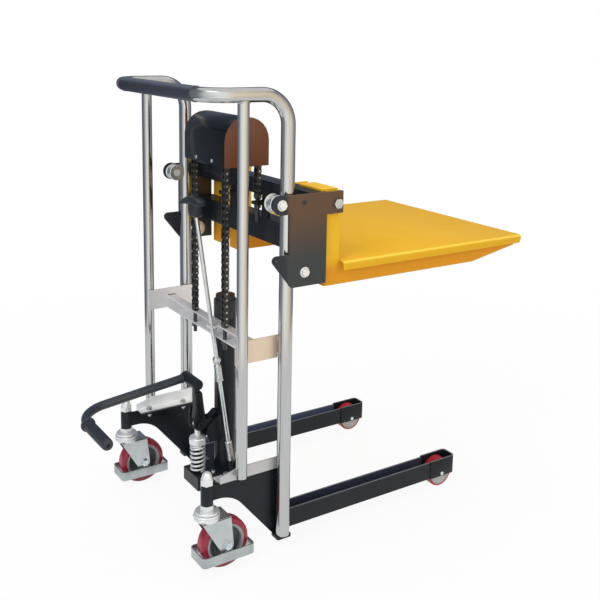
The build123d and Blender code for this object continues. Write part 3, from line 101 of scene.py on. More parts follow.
# Worked surface: a slow drift of tone and gloss with a fine grain over it.
# Plating, paint and moulding all show this, so every finish is this one effect with its own values.
worked_surface = tree = bpy.data.node_groups.new("worked_surface", "ShaderNodeTree")
for labels, way, kind in (
    (("Vector", "Stretch"), "INPUT", "Vector"),
    (("Drift Scale", "Rough A", "Rough B", "Grain Scale"), "INPUT", "Float"),
    (("Tone A", "Tone B"), "INPUT", "Color"),
    (("Color",), "OUTPUT", "Color"),
    (("Roughness", "Height"), "OUTPUT", "Float"),
):
    for label in labels:
        tree.interface.new_socket(label, in_out=way, socket_type=f"NodeSocket{kind}")
given = tree.nodes.new("NodeGroupInput").outputs
drawn = shade(tree, "VectorMath", {0: given["Vector"], 1: given["Stretch"]}, operation="MULTIPLY")
drift = shade(tree, "TexNoise", {"Vector": drawn[0], "Scale": given["Drift Scale"], "Detail": 5})
spread = shade(tree, "MapRange", {"Value": drift["Fac"], "From Min": 0.32, "From Max": 0.68})
mix = spread["Result"]
tones = shade(tree, "Mix", {"Factor": mix, "A": given["Tone A"], "B": given["Tone B"]}, data_type="RGBA")
gloss = shade(tree, "Mix", {"Factor": mix, "A": given["Rough A"], "B": given["Rough B"]})
grain = shade(tree, "TexNoise", {"Vector": given["Vector"], "Scale": given["Grain Scale"], "Detail": 3})
shown = tree.nodes.new("NodeGroupOutput").inputs
tree.links.new(tones["Result"], shown["Color"])
tree.links.new(gloss["Result"], shown["Roughness"])
tree.links.new(grain["Fac"], shown["Height"])


def finish(
    name, tone_a, tone_b, rough, drift_scale, grain_scale, relief, stretch=(1, 1, 1), metallic=0, specular=0.5
):
    """A finish on the worked surface, between two tones and two roughnesses, with the depth of its grain."""
    material = bpy.data.materials.new(name)
    material.use_nodes = True
    tree = material.node_tree
    values = {"Vector": shade(tree, "TexCoord")["Object"], "Stretch": stretch, "Drift Scale": drift_scale}
    values |= {"Tone A": (*tone_a, 1), "Tone B": (*tone_b, 1), "Grain Scale": grain_scale}
    values |= {"Rough A": rough[0], "Rough B": rough[1]}
    surface = shade(tree, "Group", values, node_tree=worked_surface)
    bump = shade(tree, "Bump", {"Strength": relief, "Distance": 0.0004, "Height": surface["Height"]})
    shader = tree.nodes["Principled BSDF"].inputs
    shader["Metallic"].default_value = metallic
    shader["Specular IOR Level"].default_value = specular
    tree.links.new(surface["Color"], shader["Base Color"])
    tree.links.new(surface["Roughness"], shader["Roughness"])
    tree.links.new(bump["Normal"], shader["Normal"])
    return material


def mix_in(tree, share, tone):
    """Mixes a tone into a material's colour by a share."""
    colour = tree.nodes["Principled BSDF"].inputs["Base Color"]
    before = colour.links[0].from_socket
    mixed = shade(tree, "Mix", {"Factor": share, "A": before, "B": (*tone, 1)}, data_type="RGBA")
    tree.links.new(mixed["Result"], colour)


def paint_dark_rim_reflection(material, tone):
    """Paints a darker tone where a bright metal turns away from the view, a painted reflection of the dim
    room behind it.
    """
    tree = material.node_tree
    away = shade(tree, "LayerWeight")["Facing"]
    rim = shade(tree, "MapRange", {"Value": away, "From Min": 0.5, "From Max": 0.95})
    mix_in(tree, rim["Result"], tone)


def put_in(bm, name, *materials):
    """Puts a mesh in the scene with its materials."""
    mesh = bpy.data.meshes.new(name)
    bm.to_mesh(mesh)
    bm.free()
    for material in materials:
        mesh.materials.append(material)
    made = bpy.data.objects.new(name, mesh)
    scene.collection.objects.link(made)
    return made


def fit(bm, name, body, finishes, slot, *nodes, crease=19):
    """Turns a mesh drawn in millimetres from the mast into a finished piece that rides on a body."""
    bmesh.ops.remove_doubles(bm, verts=bm.verts, dist=0.002)
    bmesh.ops.recalc_face_normals(bm, faces=bm.faces)
    for face in bm.faces:
        face.smooth = True
    for edge in bm.edges:
        if len(edge.link_faces) == 2 and edge.calc_face_angle(0) > radians(crease):
            edge.smooth = False
    bmesh.ops.transform(bm, matrix=Matrix.Scale(MM, 4) @ Matrix.Translation((0, mast_y, 0)), verts=bm.verts)
    made = put_in(bm, name, *finishes)
    if nodes:
        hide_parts(*nodes)
    if body:
        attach(made, body)
    return made


def stand(centre, axis):
    """The place of a shape that stands on a centre along an axis."""
    return Matrix.Translation(centre) @ ALONG_Z.rotation_difference(Vector(axis)).to_matrix().to_4x4()


def edges_of(verts):
    """Every edge that meets one of some points, in the same order each run."""
    return list(dict.fromkeys(e for v in verts for e in v.link_edges))


def ring(bm, centre, axis, radius, count=32):
    """An open ring of edges square to an axis, where a tube starts."""
    place = stand(centre, axis)
    verts = bmesh.ops.create_circle(bm, segments=count, radius=radius, matrix=place)["verts"]
    return edges_of(verts)


def cap(bm, *rims):
    """Closes rings with a face each."""
    for rim in rims:
        bmesh.ops.contextual_create(bm, geom=rim)


def run_on(bm, edges, move):
    """Draws a ring on in a straight line and gives the new end ring."""
    grown = bmesh.ops.extrude_edge_only(bm, edges=edges)["geom"]
    ends = {v for v in grown if isinstance(v, bmesh.types.BMVert)}
    bmesh.ops.translate(bm, verts=list(ends), vec=move)
    return [e for e in grown if isinstance(e, bmesh.types.BMEdge) and set(e.verts) <= ends]


def bend_on(bm, edges, centre, axis, angle, steps=14, rise=0.0):
    """Bends a ring on about an axis, rising a little with each step if asked, and gives the new end ring."""
    verts = list(dict.fromkeys(v for e in edges for v in e.verts))
    step = {"dvec": (0, 0, rise / steps), "angle": angle, "steps": steps, "use_merge": False}
    turned_end = bmesh.ops.spin(bm, geom=verts + edges, cent=centre, axis=axis, **step)["geom_last"]
    return [e for e in turned_end if isinstance(e, bmesh.types.BMEdge)]


chrome = finish(
    "chrome", (0.52, 0.53, 0.53), (0.46, 0.465, 0.465), (0.12, 0.18), 40, 900, 0.02, (1, 1, 0.05), metallic=1
)
# Painted reflection: the chrome is darkened towards its rims.
paint_dark_rim_reflection(chrome, (0.16, 0.17, 0.20))
bm = bmesh.new()
start = ring(bm, (HALF_SPAN, 0, FOOT_Z), ALONG_Z, TUBE_R, 40)
end = run_on(bm, start, (0, 0, HANDLE_Z - BEND - FOOT_Z))
end = bend_on(bm, end, (HALF_SPAN, -BEND, HANDLE_Z - BEND), ALONG_X, QUARTER)
end = run_on(bm, end, (0, BEND + CORNER - HANDLE_REACH, 0))
end = bend_on(bm, end, (HALF_SPAN - CORNER, CORNER - HANDLE_REACH, HANDLE_Z), ALONG_Z, -QUARTER)
end = run_on(bm, end, (2 * (CORNER - HALF_SPAN), 0, 0))
end = bend_on(bm, end, (CORNER - HALF_SPAN, CORNER - HANDLE_REACH, HANDLE_Z), ALONG_Z, -QUARTER)
end = run_on(bm, end, (0, HANDLE_REACH - BEND - CORNER, 0))
end = bend_on(bm, end, (-HALF_SPAN, -BEND, HANDLE_Z - BEND), ALONG_X, -QUARTER)
end = run_on(bm, end, (0, 0, FOOT_Z + BEND - HANDLE_Z))
cap(bm, start, end)
fit(bm, "mast_tube", "frame", [chrome], "chrome", "mast_loop")

# Rear tubes: thinner chromed pipe, notched and welded under the handle and to the sides of the lower angles.
# The weld runs round the notch as a low bead.
REAR_R = 13.45
REAR_X = 261.6
REAR_Y = -115.0
REAR_FOOT = 221.0
WELD_R = 2.2


def turns(count):
    """Equal turns once round."""
    return [2 * pi * i / count for i in range(count)]


def weld_run(bm, points, radius=WELD_R, closed=False):
    """A bead of weld laid along points, a little wavy as a hand-laid bead is."""
    path = [Vector(p) for p in points]
    count = len(path)
    rings = []
    for i, here in enumerate(path):
        before = path[i - 1] if i or closed else here
        after = path[(i + 1) % count] if i < count - 1 or closed else here
        swell = radius * (1 + 0.12 * sin(2.4 * i))
        rings.append(ring(bm, here, (after - before).normalized(), swell, 6))
    pairs = list(zip(rings, rings[1:])) + ([(rings[-1], rings[0])] if closed else [])
    for first, second in pairs:
        bmesh.ops.bridge_loops(bm, edges=first + second)
    if not closed:
        cap(bm, rings[0], rings[-1])


weld_steel = finish(
    "weld_steel", (0.62, 0.61, 0.59), (0.42, 0.42, 0.42), (0.2, 0.34), 180, 900, 0.2, metallic=1
)
bm = bmesh.new()
for side in (-1, 1):
    foot = ring(bm, (side * REAR_X, REAR_Y, REAR_FOOT), ALONG_Z, REAR_R, 36)
    top = run_on(bm, foot, (0, 0, HANDLE_Z - TUBE_R / 2 - REAR_FOOT))
    cap(bm, foot, top)
fit(bm, "rear_pipes", "frame", [chrome], "chrome", "rear_tubes")
bm = bmesh.new()
for side in (-1, 1):
    notch = []
    for turn in turns(28):
        x, y = REAR_R * cos(turn), REAR_R * sin(turn)
        across = min(abs(side * (REAR_X - HALF_SPAN) + x), TUBE_R * 0.93)
        notch.append((side * REAR_X + x, REAR_Y + y, HANDLE_Z - sqrt(TUBE_R**2 - across**2)))
    weld_run(bm, notch, closed=True)
fit(bm, "handle_welds", "frame", [weld_steel], "chrome", crease=60)

# Push-bar grip: a dipped black sleeve, glossy, with a rolled edge at each end.
# It is pushed over the middle of the push bar.
GRIP_HALF = 200.0
GRIP_R = 18.5


def lathe(bm, profile, centre, axis=ALONG_Z, steps=40):
    """Turns a profile of (radius, height) about an axis; one that starts off the axis is joined to a ring."""
    place = stand(centre, axis)
    verts = [bm.verts.new(place @ Vector((r, 0, h))) for r, h in profile]
    pairs = list(zip(verts, verts[1:])) + ([(verts[-1], verts[0])] if profile[0][0] else [])
    edges = [bm.edges.new(pair) for pair in pairs]
    once = {"angle": 2 * pi, "steps": steps, "use_merge": True}
    bmesh.ops.spin(bm, geom=verts + edges, cent=centre, axis=axis, **once)


def tint(material, coordinate, axis, start, full, tone, about=None):
    """Mixes a tone in as a coordinate goes from start to full, or as its distance from about does."""
    tree = material.node_tree
    where = tree.nodes["Texture Coordinate"].outputs[coordinate]
    value = shade(tree, "SeparateXYZ", {0: where})[axis]
    if about is not None:
        for operation, amount in (("ABSOLUTE", 0), ("SUBTRACT", about), ("ABSOLUTE", 0)):
            value = shade(tree, "Math", {0: value, 1: amount}, operation=operation)[0]
    share = shade(tree, "MapRange", {"Value": value, "From Min": start, "From Max": full})
    mix_in(tree, share["Result"], tone)


def both_ends(profile):
    """A profile of (radius, height) and its mirror image, from one end of a turned piece to the other."""
    return profile + [(r, -h) for r, h in reversed(profile)]


dipped_black = finish(
    "dipped_black", (0.008, 0.010, 0.016), (0.013, 0.015, 0.023), (0.08, 0.15), 30, 500, 0.02, specular=0.9
)
# Painted highlight: the grip's upward faces are mixed to a light blue-grey.
tint(dipped_black, "Normal", "Z", 0.4, 0.85, (0.075, 0.085, 0.115))
bm = bmesh.new()
sleeve = [(TUBE_R, -GRIP_HALF), (GRIP_R - 0.6, -GRIP_HALF), (GRIP_R, -GRIP_HALF + 1)]
sleeve += [(GRIP_R, 5 - GRIP_HALF), (GRIP_R - 0.5, 7 - GRIP_HALF)]
lathe(bm, both_ends(sleeve), (0, -HANDLE_REACH, HANDLE_Z), ALONG_X, 40)
fit(bm, "grip_sleeve", "frame", [dipped_black], "black_rubber", "handle_grip", crease=60)

# Braces of the mast: plated flats inside the tubes, and the cross channel that steadies cylinder and chains.
# The channel's shape comes from the frame; the flats are cut to length, eased and welded to the tubes.
BRACE_X = 246.0
BRACE_T = 4.0
BRACE_REAR, BRACE_FRONT = -125.0, 10.0
BRACE_LOW, BRACE_TOP = 495.0, 551.0
CHANNEL_TOP = 530.0


def dress(node, material, ease=0.0008, segments=2, angle=38):
    """Gives a frame node its finish and eased edges; a round node needs no easing."""
    piece = frame["nodes"][node]
    piece.data.materials[0] = material
    if ease:
        join = piece.modifiers.new("join", "WELD")
        join.merge_threshold = 0.000002
        flats = piece.modifiers.new("flats", "DECIMATE")
        flats.decimate_type = "DISSOLVE"
        flats.angle_limit = radians(0.2)
        edges = piece.modifiers.new("eased_edges", "BEVEL")
        edges.width = ease
        edges.segments = segments
        edges.limit_method = "ANGLE"
        edges.angle_limit = radians(angle)
        edges.harden_normals = True


def ease_edges(bm, edges, width, segments=2):
    """Rounds edges over."""
    bmesh.ops.bevel(
        bm, geom=edges, offset=width, segments=segments, profile=0.5, affect="EDGES", material=-1
    )


def block(bm, place, size, ease, segments=2):
    """A cut block of a given size with eased edges."""
    verts = bmesh.ops.create_cube(bm, size=1, matrix=place @ Matrix.Diagonal((*size, 1)))["verts"]
    ease_edges(bm, edges_of(verts), ease, segments)


def same_finish(material, name):
    """A copy of a finish under its own name, to be tinted."""
    copy = material.copy()
    copy.name = name
    return copy


plated = finish(
    "plated", (0.84, 0.84, 0.85), (0.74, 0.745, 0.75), (0.34, 0.44), 14, 700, 0.02, (1, 0.4, 1), metallic=0.5
)
dress("mid_channel", plated)
brace_plated_warm_reflection = same_finish(plated, "brace_plated_warm_reflection")
# Painted reflection of the yellow deck: the near flat brace is mixed to a warm tan.
tint(brace_plated_warm_reflection, "Object", "X", 0.2, 0.24, (0.73, 0.60, 0.47))
bm = bmesh.new()
brace_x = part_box("mid_braces")[1].x / MM
for side in (-1, 1):
    middle = (side * (brace_x - BRACE_T / 2), (BRACE_REAR + BRACE_FRONT) / 2, (BRACE_LOW + BRACE_TOP) / 2)
    block(bm, Matrix.Translation(middle), (BRACE_T, BRACE_FRONT - BRACE_REAR, BRACE_TOP - BRACE_LOW), 0.8)
fit(bm, "flat_braces", "frame", [brace_plated_warm_reflection], "chrome", "mid_braces")
bm = bmesh.new()
for side in (-1, 1):
    for y in (REAR_Y - REAR_R * 0.6, REAR_Y + REAR_R * 0.6, -TUBE_R * 0.6, TUBE_R * 0.5):
        for z0, z1 in ((BRACE_LOW + 2, BRACE_LOW + 14), (BRACE_TOP - 14, BRACE_TOP - 2)):
            bead = [(side * (BRACE_X + 2.5), y, z0 + (z1 - z0) * i / 5) for i in range(6)]
            weld_run(bm, bead, 1.8)
    bead = [(side * (BRACE_X - 2.5), -68 + 4 * i, CHANNEL_TOP + 0.5) for i in range(7)]
    weld_run(bm, bead, 1.6)
fit(bm, "brace_welds", "frame", [weld_steel], "chrome", crease=60)

# Lower angles: plated steel angle under the tubes, its upright leg cut down towards the rear end.
# Two zinc hexagon bolts a side, with washers and nuts, hold the angle and the mast down on the base flange.
ANGLE_REAR, ANGLE_FRONT = -165.0, 6.0
ANGLE_LOW, ANGLE_TOP, ANGLE_END = 210.0, 240.0, 226.0
ANGLE_T, ANGLE_W, ANGLE_EDGE, CUT_LENGTH = 4.0, 34.0, 1.5, 50.0
ANGLE_BOLT_X = 224.0
ANGLE_BOLT_YS = (-136.0, -32.0)
WASHER_T, NUT_T, FLANGE_LOW = 1.4, 7.0, 205.0
angle_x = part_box("lower_angles")[1].x / MM


def hull_plate(bm, discs, x0, x1, ease=0.7):
    """A flat plate between two X planes, its outline wrapped round discs of (y, z, radius)."""
    corners = []
    for x in (x0, x1):
        for y, z, radius in discs:
            place = Matrix.Translation((x, y, z)) @ Matrix.Rotation(QUARTER, 4, "Y")
            corners += bmesh.ops.create_circle(bm, segments=32, radius=radius, matrix=place)["verts"]
    bmesh.ops.convex_hull(bm, input=corners)
    loose = [v for v in corners if v.is_valid and not v.link_faces]
    bmesh.ops.delete(bm, geom=loose, context="VERTS")
    corners = [v for v in corners if v.is_valid]
    wires = [e for e in edges_of(corners) if not e.link_faces]
    bmesh.ops.delete(bm, geom=wires, context="EDGES")
    bmesh.ops.dissolve_limit(bm, angle_limit=0.01, verts=corners, edges=edges_of(corners))
    edges = edges_of(v for v in corners if v.is_valid)
    rims = [e for e in edges if len(e.link_faces) == 2 and e.calc_face_angle(0) > 1.0]
    ease_edges(bm, rims, ease)


def disc(radius, height, start=0):
    """The profile of a plain disc or bar."""
    return [(0, start), (radius, start), (radius, start + height), (0, start + height)]


def bar(bm, place, radius, depth, sides):
    """A straight bar about the middle of a place; gives its points."""
    return bmesh.ops.create_cone(
        bm, cap_ends=True, segments=sides, radius1=radius, radius2=radius, depth=depth, matrix=place
    )["verts"]


def hexagon(bm, centre, axis, across, height, chamfer=0.7):
    """A hexagon head or nut standing on centre along axis."""
    axis = Vector(axis).normalized()
    verts = bar(bm, stand(Vector(centre) + axis * height / 2, axis), across / sqrt(3), height, 6)
    ease_edges(bm, edges_of(verts), chamfer)


bm = bmesh.new()
for side in (-1, 1):
    rear, front = ANGLE_REAR + ANGLE_EDGE, ANGLE_FRONT - ANGLE_EDGE
    low, high, cut = ANGLE_LOW + ANGLE_EDGE, ANGLE_TOP - ANGLE_EDGE, ANGLE_END - ANGLE_EDGE
    upright = [(rear, low), (front, low), (front, high), (ANGLE_REAR + CUT_LENGTH, high), (rear, cut)]
    hull_plate(bm, [(y, z, ANGLE_EDGE) for y, z in upright], side * angle_x, side * (angle_x - ANGLE_T))
    lying = (side * (angle_x - ANGLE_W / 2 - 1), (ANGLE_REAR + ANGLE_FRONT) / 2, ANGLE_LOW + ANGLE_T / 2)
    block(bm, Matrix.Translation(lying), (ANGLE_W - 2, ANGLE_FRONT - ANGLE_REAR - 0.6, ANGLE_T), 0.7)
angle_plated_lit_and_shaded = same_finish(plated, "angle_plated_lit_and_shaded")
# Painted light and shade: the near angle is mixed to a darker grey and the far angle to a lighter, bluer
# white.
tint(angle_plated_lit_and_shaded, "Object", "X", 0.2, 0.24, (0.53, 0.53, 0.535))
tint(angle_plated_lit_and_shaded, "Object", "X", -0.2, -0.24, (0.94, 0.97, 1.0))
fit(bm, "angle_irons", "frame", [angle_plated_lit_and_shaded], "chrome", "lower_angles")
zinc = finish("zinc", (0.54, 0.58, 0.59), (0.47, 0.505, 0.515), (0.28, 0.38), 40, 800, 0.02, metallic=1)
seat = ANGLE_LOW + ANGLE_T
bm = bmesh.new()
for side in (-1, 1):
    for y in ANGLE_BOLT_YS:
        lathe(bm, disc(8.5, WASHER_T), (side * ANGLE_BOLT_X, y, seat), steps=24)
        hexagon(bm, (side * ANGLE_BOLT_X, y, seat + WASHER_T), ALONG_Z, 13, 6)
        hexagon(bm, (side * ANGLE_BOLT_X, y, FLANGE_LOW), -ALONG_Z, 13, NUT_T)
        bolt_end = (side * ANGLE_BOLT_X, y, FLANGE_LOW - NUT_T)
        lathe(bm, [(0, 0), (4, 0), (4, 4), (3.2, 5), (0, 5)], bolt_end, -ALONG_Z, 20)
fit(bm, "angle_bolts", "frame", [zinc], "zinc")

# Base: black-painted plate sides with arches over the casters, channel legs, tips and cross beam.
# All of it is welded steel, stove-enamelled black with a slight orange peel.
LEG_X, TROUGH_HALF, LEG_TOP = 0.2135, 0.0192, 0.083
BEAM_WELD_X, LAP_X, LAP_Y = 189.5, 234.0, 505.5
deep, worn = (0.0085, 0.0115, 0.0145), (0.012, 0.0155, 0.0195)
black_paint = finish("black_paint", deep, worn, (0.26, 0.36), 14, 420, 0.03, specular=0.22)
for node in ("base_side_l", "base_side_r"):
    dress(node, black_paint, ease=0.003, segments=3)
for node in ("base_cross_beam", "tube_feet"):
    dress(node, black_paint, ease=0.0012)
# Painted light: each leg's trough is mixed to a blue painted reflection, lighter in the far leg than the near
# one, and the walls' top edges to a painted highlight.
for node, painted_trough_light in (("leg_l", (0.105, 0.125, 0.22)), ("leg_r", (0.045, 0.053, 0.085))):
    leg_paint_painted_light = same_finish(black_paint, f"paint_{node}")
    tint(leg_paint_painted_light, "Object", "X", TROUGH_HALF, TROUGH_HALF - 0.001, painted_trough_light, about=LEG_X)
    tint(leg_paint_painted_light, "Object", "Z", LEG_TOP - 0.0018, LEG_TOP - 0.0006, (0.16, 0.175, 0.20))
    dress(node, leg_paint_painted_light, ease=0.0012)
dress("caster_collars", black_paint, ease=0.001)
bm = bmesh.new()
for side in (-1, 1):
    weld_run(bm, [(side * BEAM_WELD_X, -6 + 6 * i, 34) for i in range(8)], 2.0)
    weld_run(bm, [(side * LAP_X, LAP_Y, 36 + 6 * i) for i in range(8)], 2.0)
    weld_run(bm, [(side * (245 + 4 * i), 12, 44) for i in range(6)])
fit(bm, "base_welds", "frame", [black_paint], "black_paint", crease=60)

# Load wheels: red bonded tread on a pale core, turning on a riveted axle.
# Each runs in a leg tip, a strip bent to a U with round corners and welded over the end of the leg.
LOAD_Y, LOAD_Z = 550.0, 40.0
LOAD_X = 213.5
TIP_HALF, TIP_T, TIP_BEND = 24.0, 4.0, 11.0
TIP_REAR, TIP_FRONT, TIP_LOW, TIP_TOP = 506.0, 596.0, 33.0, 85.5


def bent_strip(half, foot, crown, thick, radius):
    """Outline of a strip bent twice to a U: two legs from a foot line to a flat crown."""
    outline = []
    for inset, way in ((0, 1), (thick, -1)):
        bend = radius - inset
        swing = [QUARTER * i / 6 for i in range(7)]
        corner = half - inset - bend, crown - inset - bend
        run = [(corner[0] + bend * cos(t), corner[1] + bend * sin(t)) for t in swing]
        run = [(half - inset, foot)] + run
        outline += (run + [(-x, y) for x, y in reversed(run)])[::way]
    return outline


def prism(bm, points, move):
    """A solid drawn straight on from a flat outline; gives the points of its far end."""
    face = bm.faces.new([bm.verts.new(p) for p in points])
    drawn = bmesh.ops.extrude_face_region(bm, geom=[face])["geom"]
    moved = [v for v in drawn if isinstance(v, bmesh.types.BMVert)]
    bmesh.ops.translate(bm, verts=moved, vec=move)
    return moved


def ease_rims(bm, width):
    """Rounds over every edge where two faces meet at a steep angle."""
    bmesh.ops.recalc_face_normals(bm, faces=bm.faces)
    ease_edges(bm, [e for e in bm.edges if e.calc_face_angle(0) > 1.0], width)


def second_finish(bm, first_faces):
    """Gives every face but the first ones the piece's second finish."""
    for face in bm.faces:
        if face not in first_faces:
            face.material_index = 1


tip_paint_edge_highlight = same_finish(black_paint, "tip_paint_edge_highlight")
# Painted highlight: the tips' top edges are mixed to a light blue-grey.
tint(tip_paint_edge_highlight, "Object", "Z", (TIP_TOP - 1.6) * MM, (TIP_TOP - 0.6) * MM, (0.16, 0.175, 0.20))
bm = bmesh.new()
for side in (-1, 1):
    strip = bent_strip(TIP_HALF, TIP_REAR, TIP_FRONT, TIP_T, TIP_BEND)
    prism(bm, [(side * LOAD_X + u, v, TIP_LOW) for u, v in strip], (0, 0, TIP_TOP - TIP_LOW))
ease_rims(bm, 0.8)
fit(bm, "bent_tips", "frame", [tip_paint_edge_highlight], "black_paint", "leg_tips", crease=40)
red_tread = finish("red_tread", (0.36, 0.014, 0.042), (0.28, 0.010, 0.032), (0.18, 0.3), 35, 500, 0.04)
# Painted light: the load wheels' red is a lighter copy of the tread red, for their lit tops.
lit_load_red = finish(
    "lit_load_red", (0.50, 0.015, 0.026), (0.40, 0.012, 0.021), (0.22, 0.34), 35, 500, 0.04, specular=0.4
)
grey_core = finish("grey_core", (0.28, 0.29, 0.31), (0.33, 0.34, 0.36), (0.36, 0.5), 40, 700, 0.04)
pale_core = finish("pale_core", (0.52, 0.51, 0.50), (0.44, 0.43, 0.42), (0.32, 0.46), 40, 700, 0.04)
dark_web = finish("dark_web", (0.035, 0.045, 0.050), (0.05, 0.06, 0.066), (0.4, 0.5), 40, 700, 0.04)
for name, side in (("l", -1), ("r", 1)):
    bm = bmesh.new()
    hub = (side * LOAD_X, LOAD_Y, LOAD_Z)
    tread = [(34.6, -16), (37.4, -16), (39.2, -15), (40, -13)]
    lathe(bm, both_ends(tread), hub, ALONG_X, 56)
    red_faces = set(bm.faces)
    core = [(7.2, -19), (13, -19), (13.5, -17), (16, -14.5), (29, -14), (32, -15.6), (34.5, -15.6)]
    lathe(bm, both_ends(core), hub, ALONG_X, 48)
    second_finish(bm, red_faces)
    wheel = f"load_wheel_{name}"
    fit(bm, f"load_roller_{name}", wheel, [lit_load_red, pale_core], "red_tread", wheel)
bright_zinc = finish(
    "bright_zinc", (0.80, 0.82, 0.83), (0.72, 0.74, 0.75), (0.3, 0.4), 40, 800, 0.02, metallic=0.6
)
bm = bmesh.new()
for side in (-1, 1):
    rivet = [(0, -25.4), (3, -25.4), (5, -24.7), (5.5, -23.9), (5.5, -19.8), (7, -19.8)]
    lathe(bm, both_ends(rivet), (side * LOAD_X, LOAD_Y, LOAD_Z), ALONG_X, 28)
fit(bm, "riveted_axles", "frame", [bright_zinc], "zinc", "load_axles")

# Casters: a turned stem with a domed cap nut on top, a pressed fork on a double ball race, a guard loop.
# The wheel is a grey moulded core in a red tread, on a bolt through the fork.
CASTER_X = 243.0
STEM_Y = -197.0
AXLE_Y, AXLE_Z = -155.0, 62.5
FORK_IN, FORK_OUT = 24.0, 27.0
GUARD_HALF, GUARD_LENGTH, GUARD_T, GUARD_BEND = 36.0, 139.0, 3.0, 10.0
GUARD_LOW, GUARD_TOP, SPACER_Z = 26.0, 51.0, 41.0
CORNER_POINTS = 7
WEB_IN, WEB_OUT = 16.5, 41.0


def skin(bm, sections, closed=False):
    """Faces between rings of points that follow each other; an open skin has its ends filled."""
    rings = [[bm.verts.new(p) for p in section] for section in sections]
    for near, far in zip(rings, rings[1:] + rings[:1] if closed else rings[1:]):
        for i in range(len(near)):
            bm.faces.new((near[i - 1], near[i], far[i], far[i - 1]))
    if not closed:
        for ends in (rings[0], rings[-1]):
            bm.faces.new(ends)
    return rings


guard_zinc = finish(
    "guard_zinc", (0.44, 0.49, 0.495), (0.37, 0.41, 0.42), (0.34, 0.46), 30, 800, 0.03, metallic=1
)
bolt_zinc = finish(
    "bolt_zinc", (0.52, 0.60, 0.63), (0.62, 0.68, 0.70), (0.22, 0.32), 60, 800, 0.02, metallic=1
)
bm = bmesh.new()
for side in (-1, 1):
    stem = (side * CASTER_X, STEM_Y, 0)
    turned = [(0, 127), (11, 127), (12, 128), (12, 130.5), (8, 130.5), (8, 148), (26.5, 148), (28, 149.2)]
    lathe(bm, turned + [(28, 152.8), (26.5, 154), (0, 154)], stem, steps=48)
    hexagon(bm, (side * CASTER_X, STEM_Y, 154), ALONG_Z, 30, 13.5, 1.0)
    lathe(bm, disc(10, 48, 167), stem, steps=24)
    bright_faces = set(bm.faces)
    lathe(bm, [(0, 209.8), (14.9, 209.8), (14.9, 216.6), (14.3, 217.2), (0, 217.2)], stem, steps=40)
    second_finish(bm, bright_faces)
    hexagon(bm, (side * CASTER_X, STEM_Y, 217), ALONG_Z, 28, 14.5, 1.2)
    dome = [(12.4, 230), (12.2, 236), (11.2, 241), (9.4, 245), (6.6, 247.8), (3.4, 248.8), (0, 249)]
    lathe(bm, [(0, 229), (12.4, 229), *dome], stem, steps=40)
fit(bm, "stems_and_cap_nuts", "frame", [bright_zinc, black_paint], "zinc", "caster_stems")
for name, side in (("l", -1), ("r", 1)):
    x0 = side * CASTER_X
    bm = bmesh.new()
    head = [(8.2, 131), (27, 131), (31, 133), (31, 139.5), (29.6, 140.6), (29.6, 142), (31, 143), (31, 146)]
    head += [(29.5, 147.5), (8.2, 147.5)]
    lathe(bm, head, (x0, STEM_Y, 0), steps=56)
    second_finish(bm, ())
    crown = [(-219, 133, 2), (-148, 133, 2)]
    for cheek in (-1, 1):
        inside, outside = x0 + cheek * FORK_IN, x0 + cheek * FORK_OUT
        leg = crown + [(AXLE_Y - 1, AXLE_Z, 17), (AXLE_Y - 1, 44, 12)]
        hull_plate(bm, leg, inside, outside, 1.0)
        spacer = disc(7, GUARD_HALF - FORK_OUT)
        lathe(bm, spacer, (outside - cheek * 2, AXLE_Y, SPACER_Z), cheek * ALONG_X, 24)
    hull_plate(bm, crown, x0 - FORK_OUT, x0 + FORK_OUT, 0.8)
    lathe(bm, disc(6, 2 * FORK_OUT, -FORK_OUT), (x0, AXLE_Y, AXLE_Z), ALONG_X, 24)
    swivel, wheel = f"caster_swivel_{name}", f"caster_wheel_{name}"
    fit(bm, f"pressed_fork_{name}", swivel, [zinc, bright_zinc], "zinc", f"caster_fork_{name}")
    bm = bmesh.new()
    for cheek in (-1, 1):
        end = (x0 + cheek * FORK_OUT, AXLE_Y, AXLE_Z)
        lathe(bm, [(0, 0), (11.5, 0), (11.5, 1.2), (10.8, 1.6), (0, 1.6)], end, cheek * ALONG_X, 28)
        hexagon(bm, end, cheek * ALONG_X, 18, 7, 0.9)
    fit(bm, f"axle_bolt_{name}", swivel, [bolt_zinc], "zinc")
    bm = bmesh.new()
    loops = []
    for inset, z in ((0, GUARD_LOW), (0, GUARD_TOP), (GUARD_T, GUARD_TOP), (GUARD_T, GUARD_LOW)):
        bend = GUARD_BEND - inset
        half_x, half_y = GUARD_HALF - GUARD_BEND, GUARD_LENGTH / 2 - GUARD_BEND
        loop = []
        for corner, (way_x, way_y) in enumerate(((1, 1), (-1, 1), (-1, -1), (1, -1))):
            middle = Vector((x0 + way_x * half_x, AXLE_Y + way_y * half_y, z))
            for i in range(CORNER_POINTS):
                turn = QUARTER * (corner + i / (CORNER_POINTS - 1))
                loop.append(middle + Vector((cos(turn), sin(turn), 0)) * bend)
        loops.append(loop)
    skin(bm, loops, closed=True)
    ease_rims(bm, 0.5)
    fit(bm, f"guard_loop_{name}", swivel, [guard_zinc], "zinc", f"caster_guard_{name}", crease=40)
    bm = bmesh.new()
    hub = (x0, AXLE_Y, AXLE_Z)
    tread = [(48.6, -16.9), (55, -16.9), (59, -15.6), (61.6, -12.5), (62.5, -7)]
    lathe(bm, both_ends(tread), hub, ALONG_X, 72)
    fit(bm, f"tread_{name}", wheel, [red_tread], "red_tread", f"caster_tread_{name}", crease=40)
    bm = bmesh.new()
    core = [(6.2, -23), (10, -23), (15.5, -21.5), (16, -12), (18, -9), (36, -8), (40.5, -9.5), (42, -16)]
    core += [(43.5, -17), (48.4, -17)]
    lathe(bm, both_ends(core), hub, ALONG_X, 64)
    for face in bm.faces:
        spot = face.calc_center_median() - Vector(hub)
        face.material_index = 1 if WEB_IN < spot.yz.length < WEB_OUT else 0
    fit(bm, f"core_{name}", wheel, [grey_core, dark_web], "grey_core", f"caster_core_{name}")

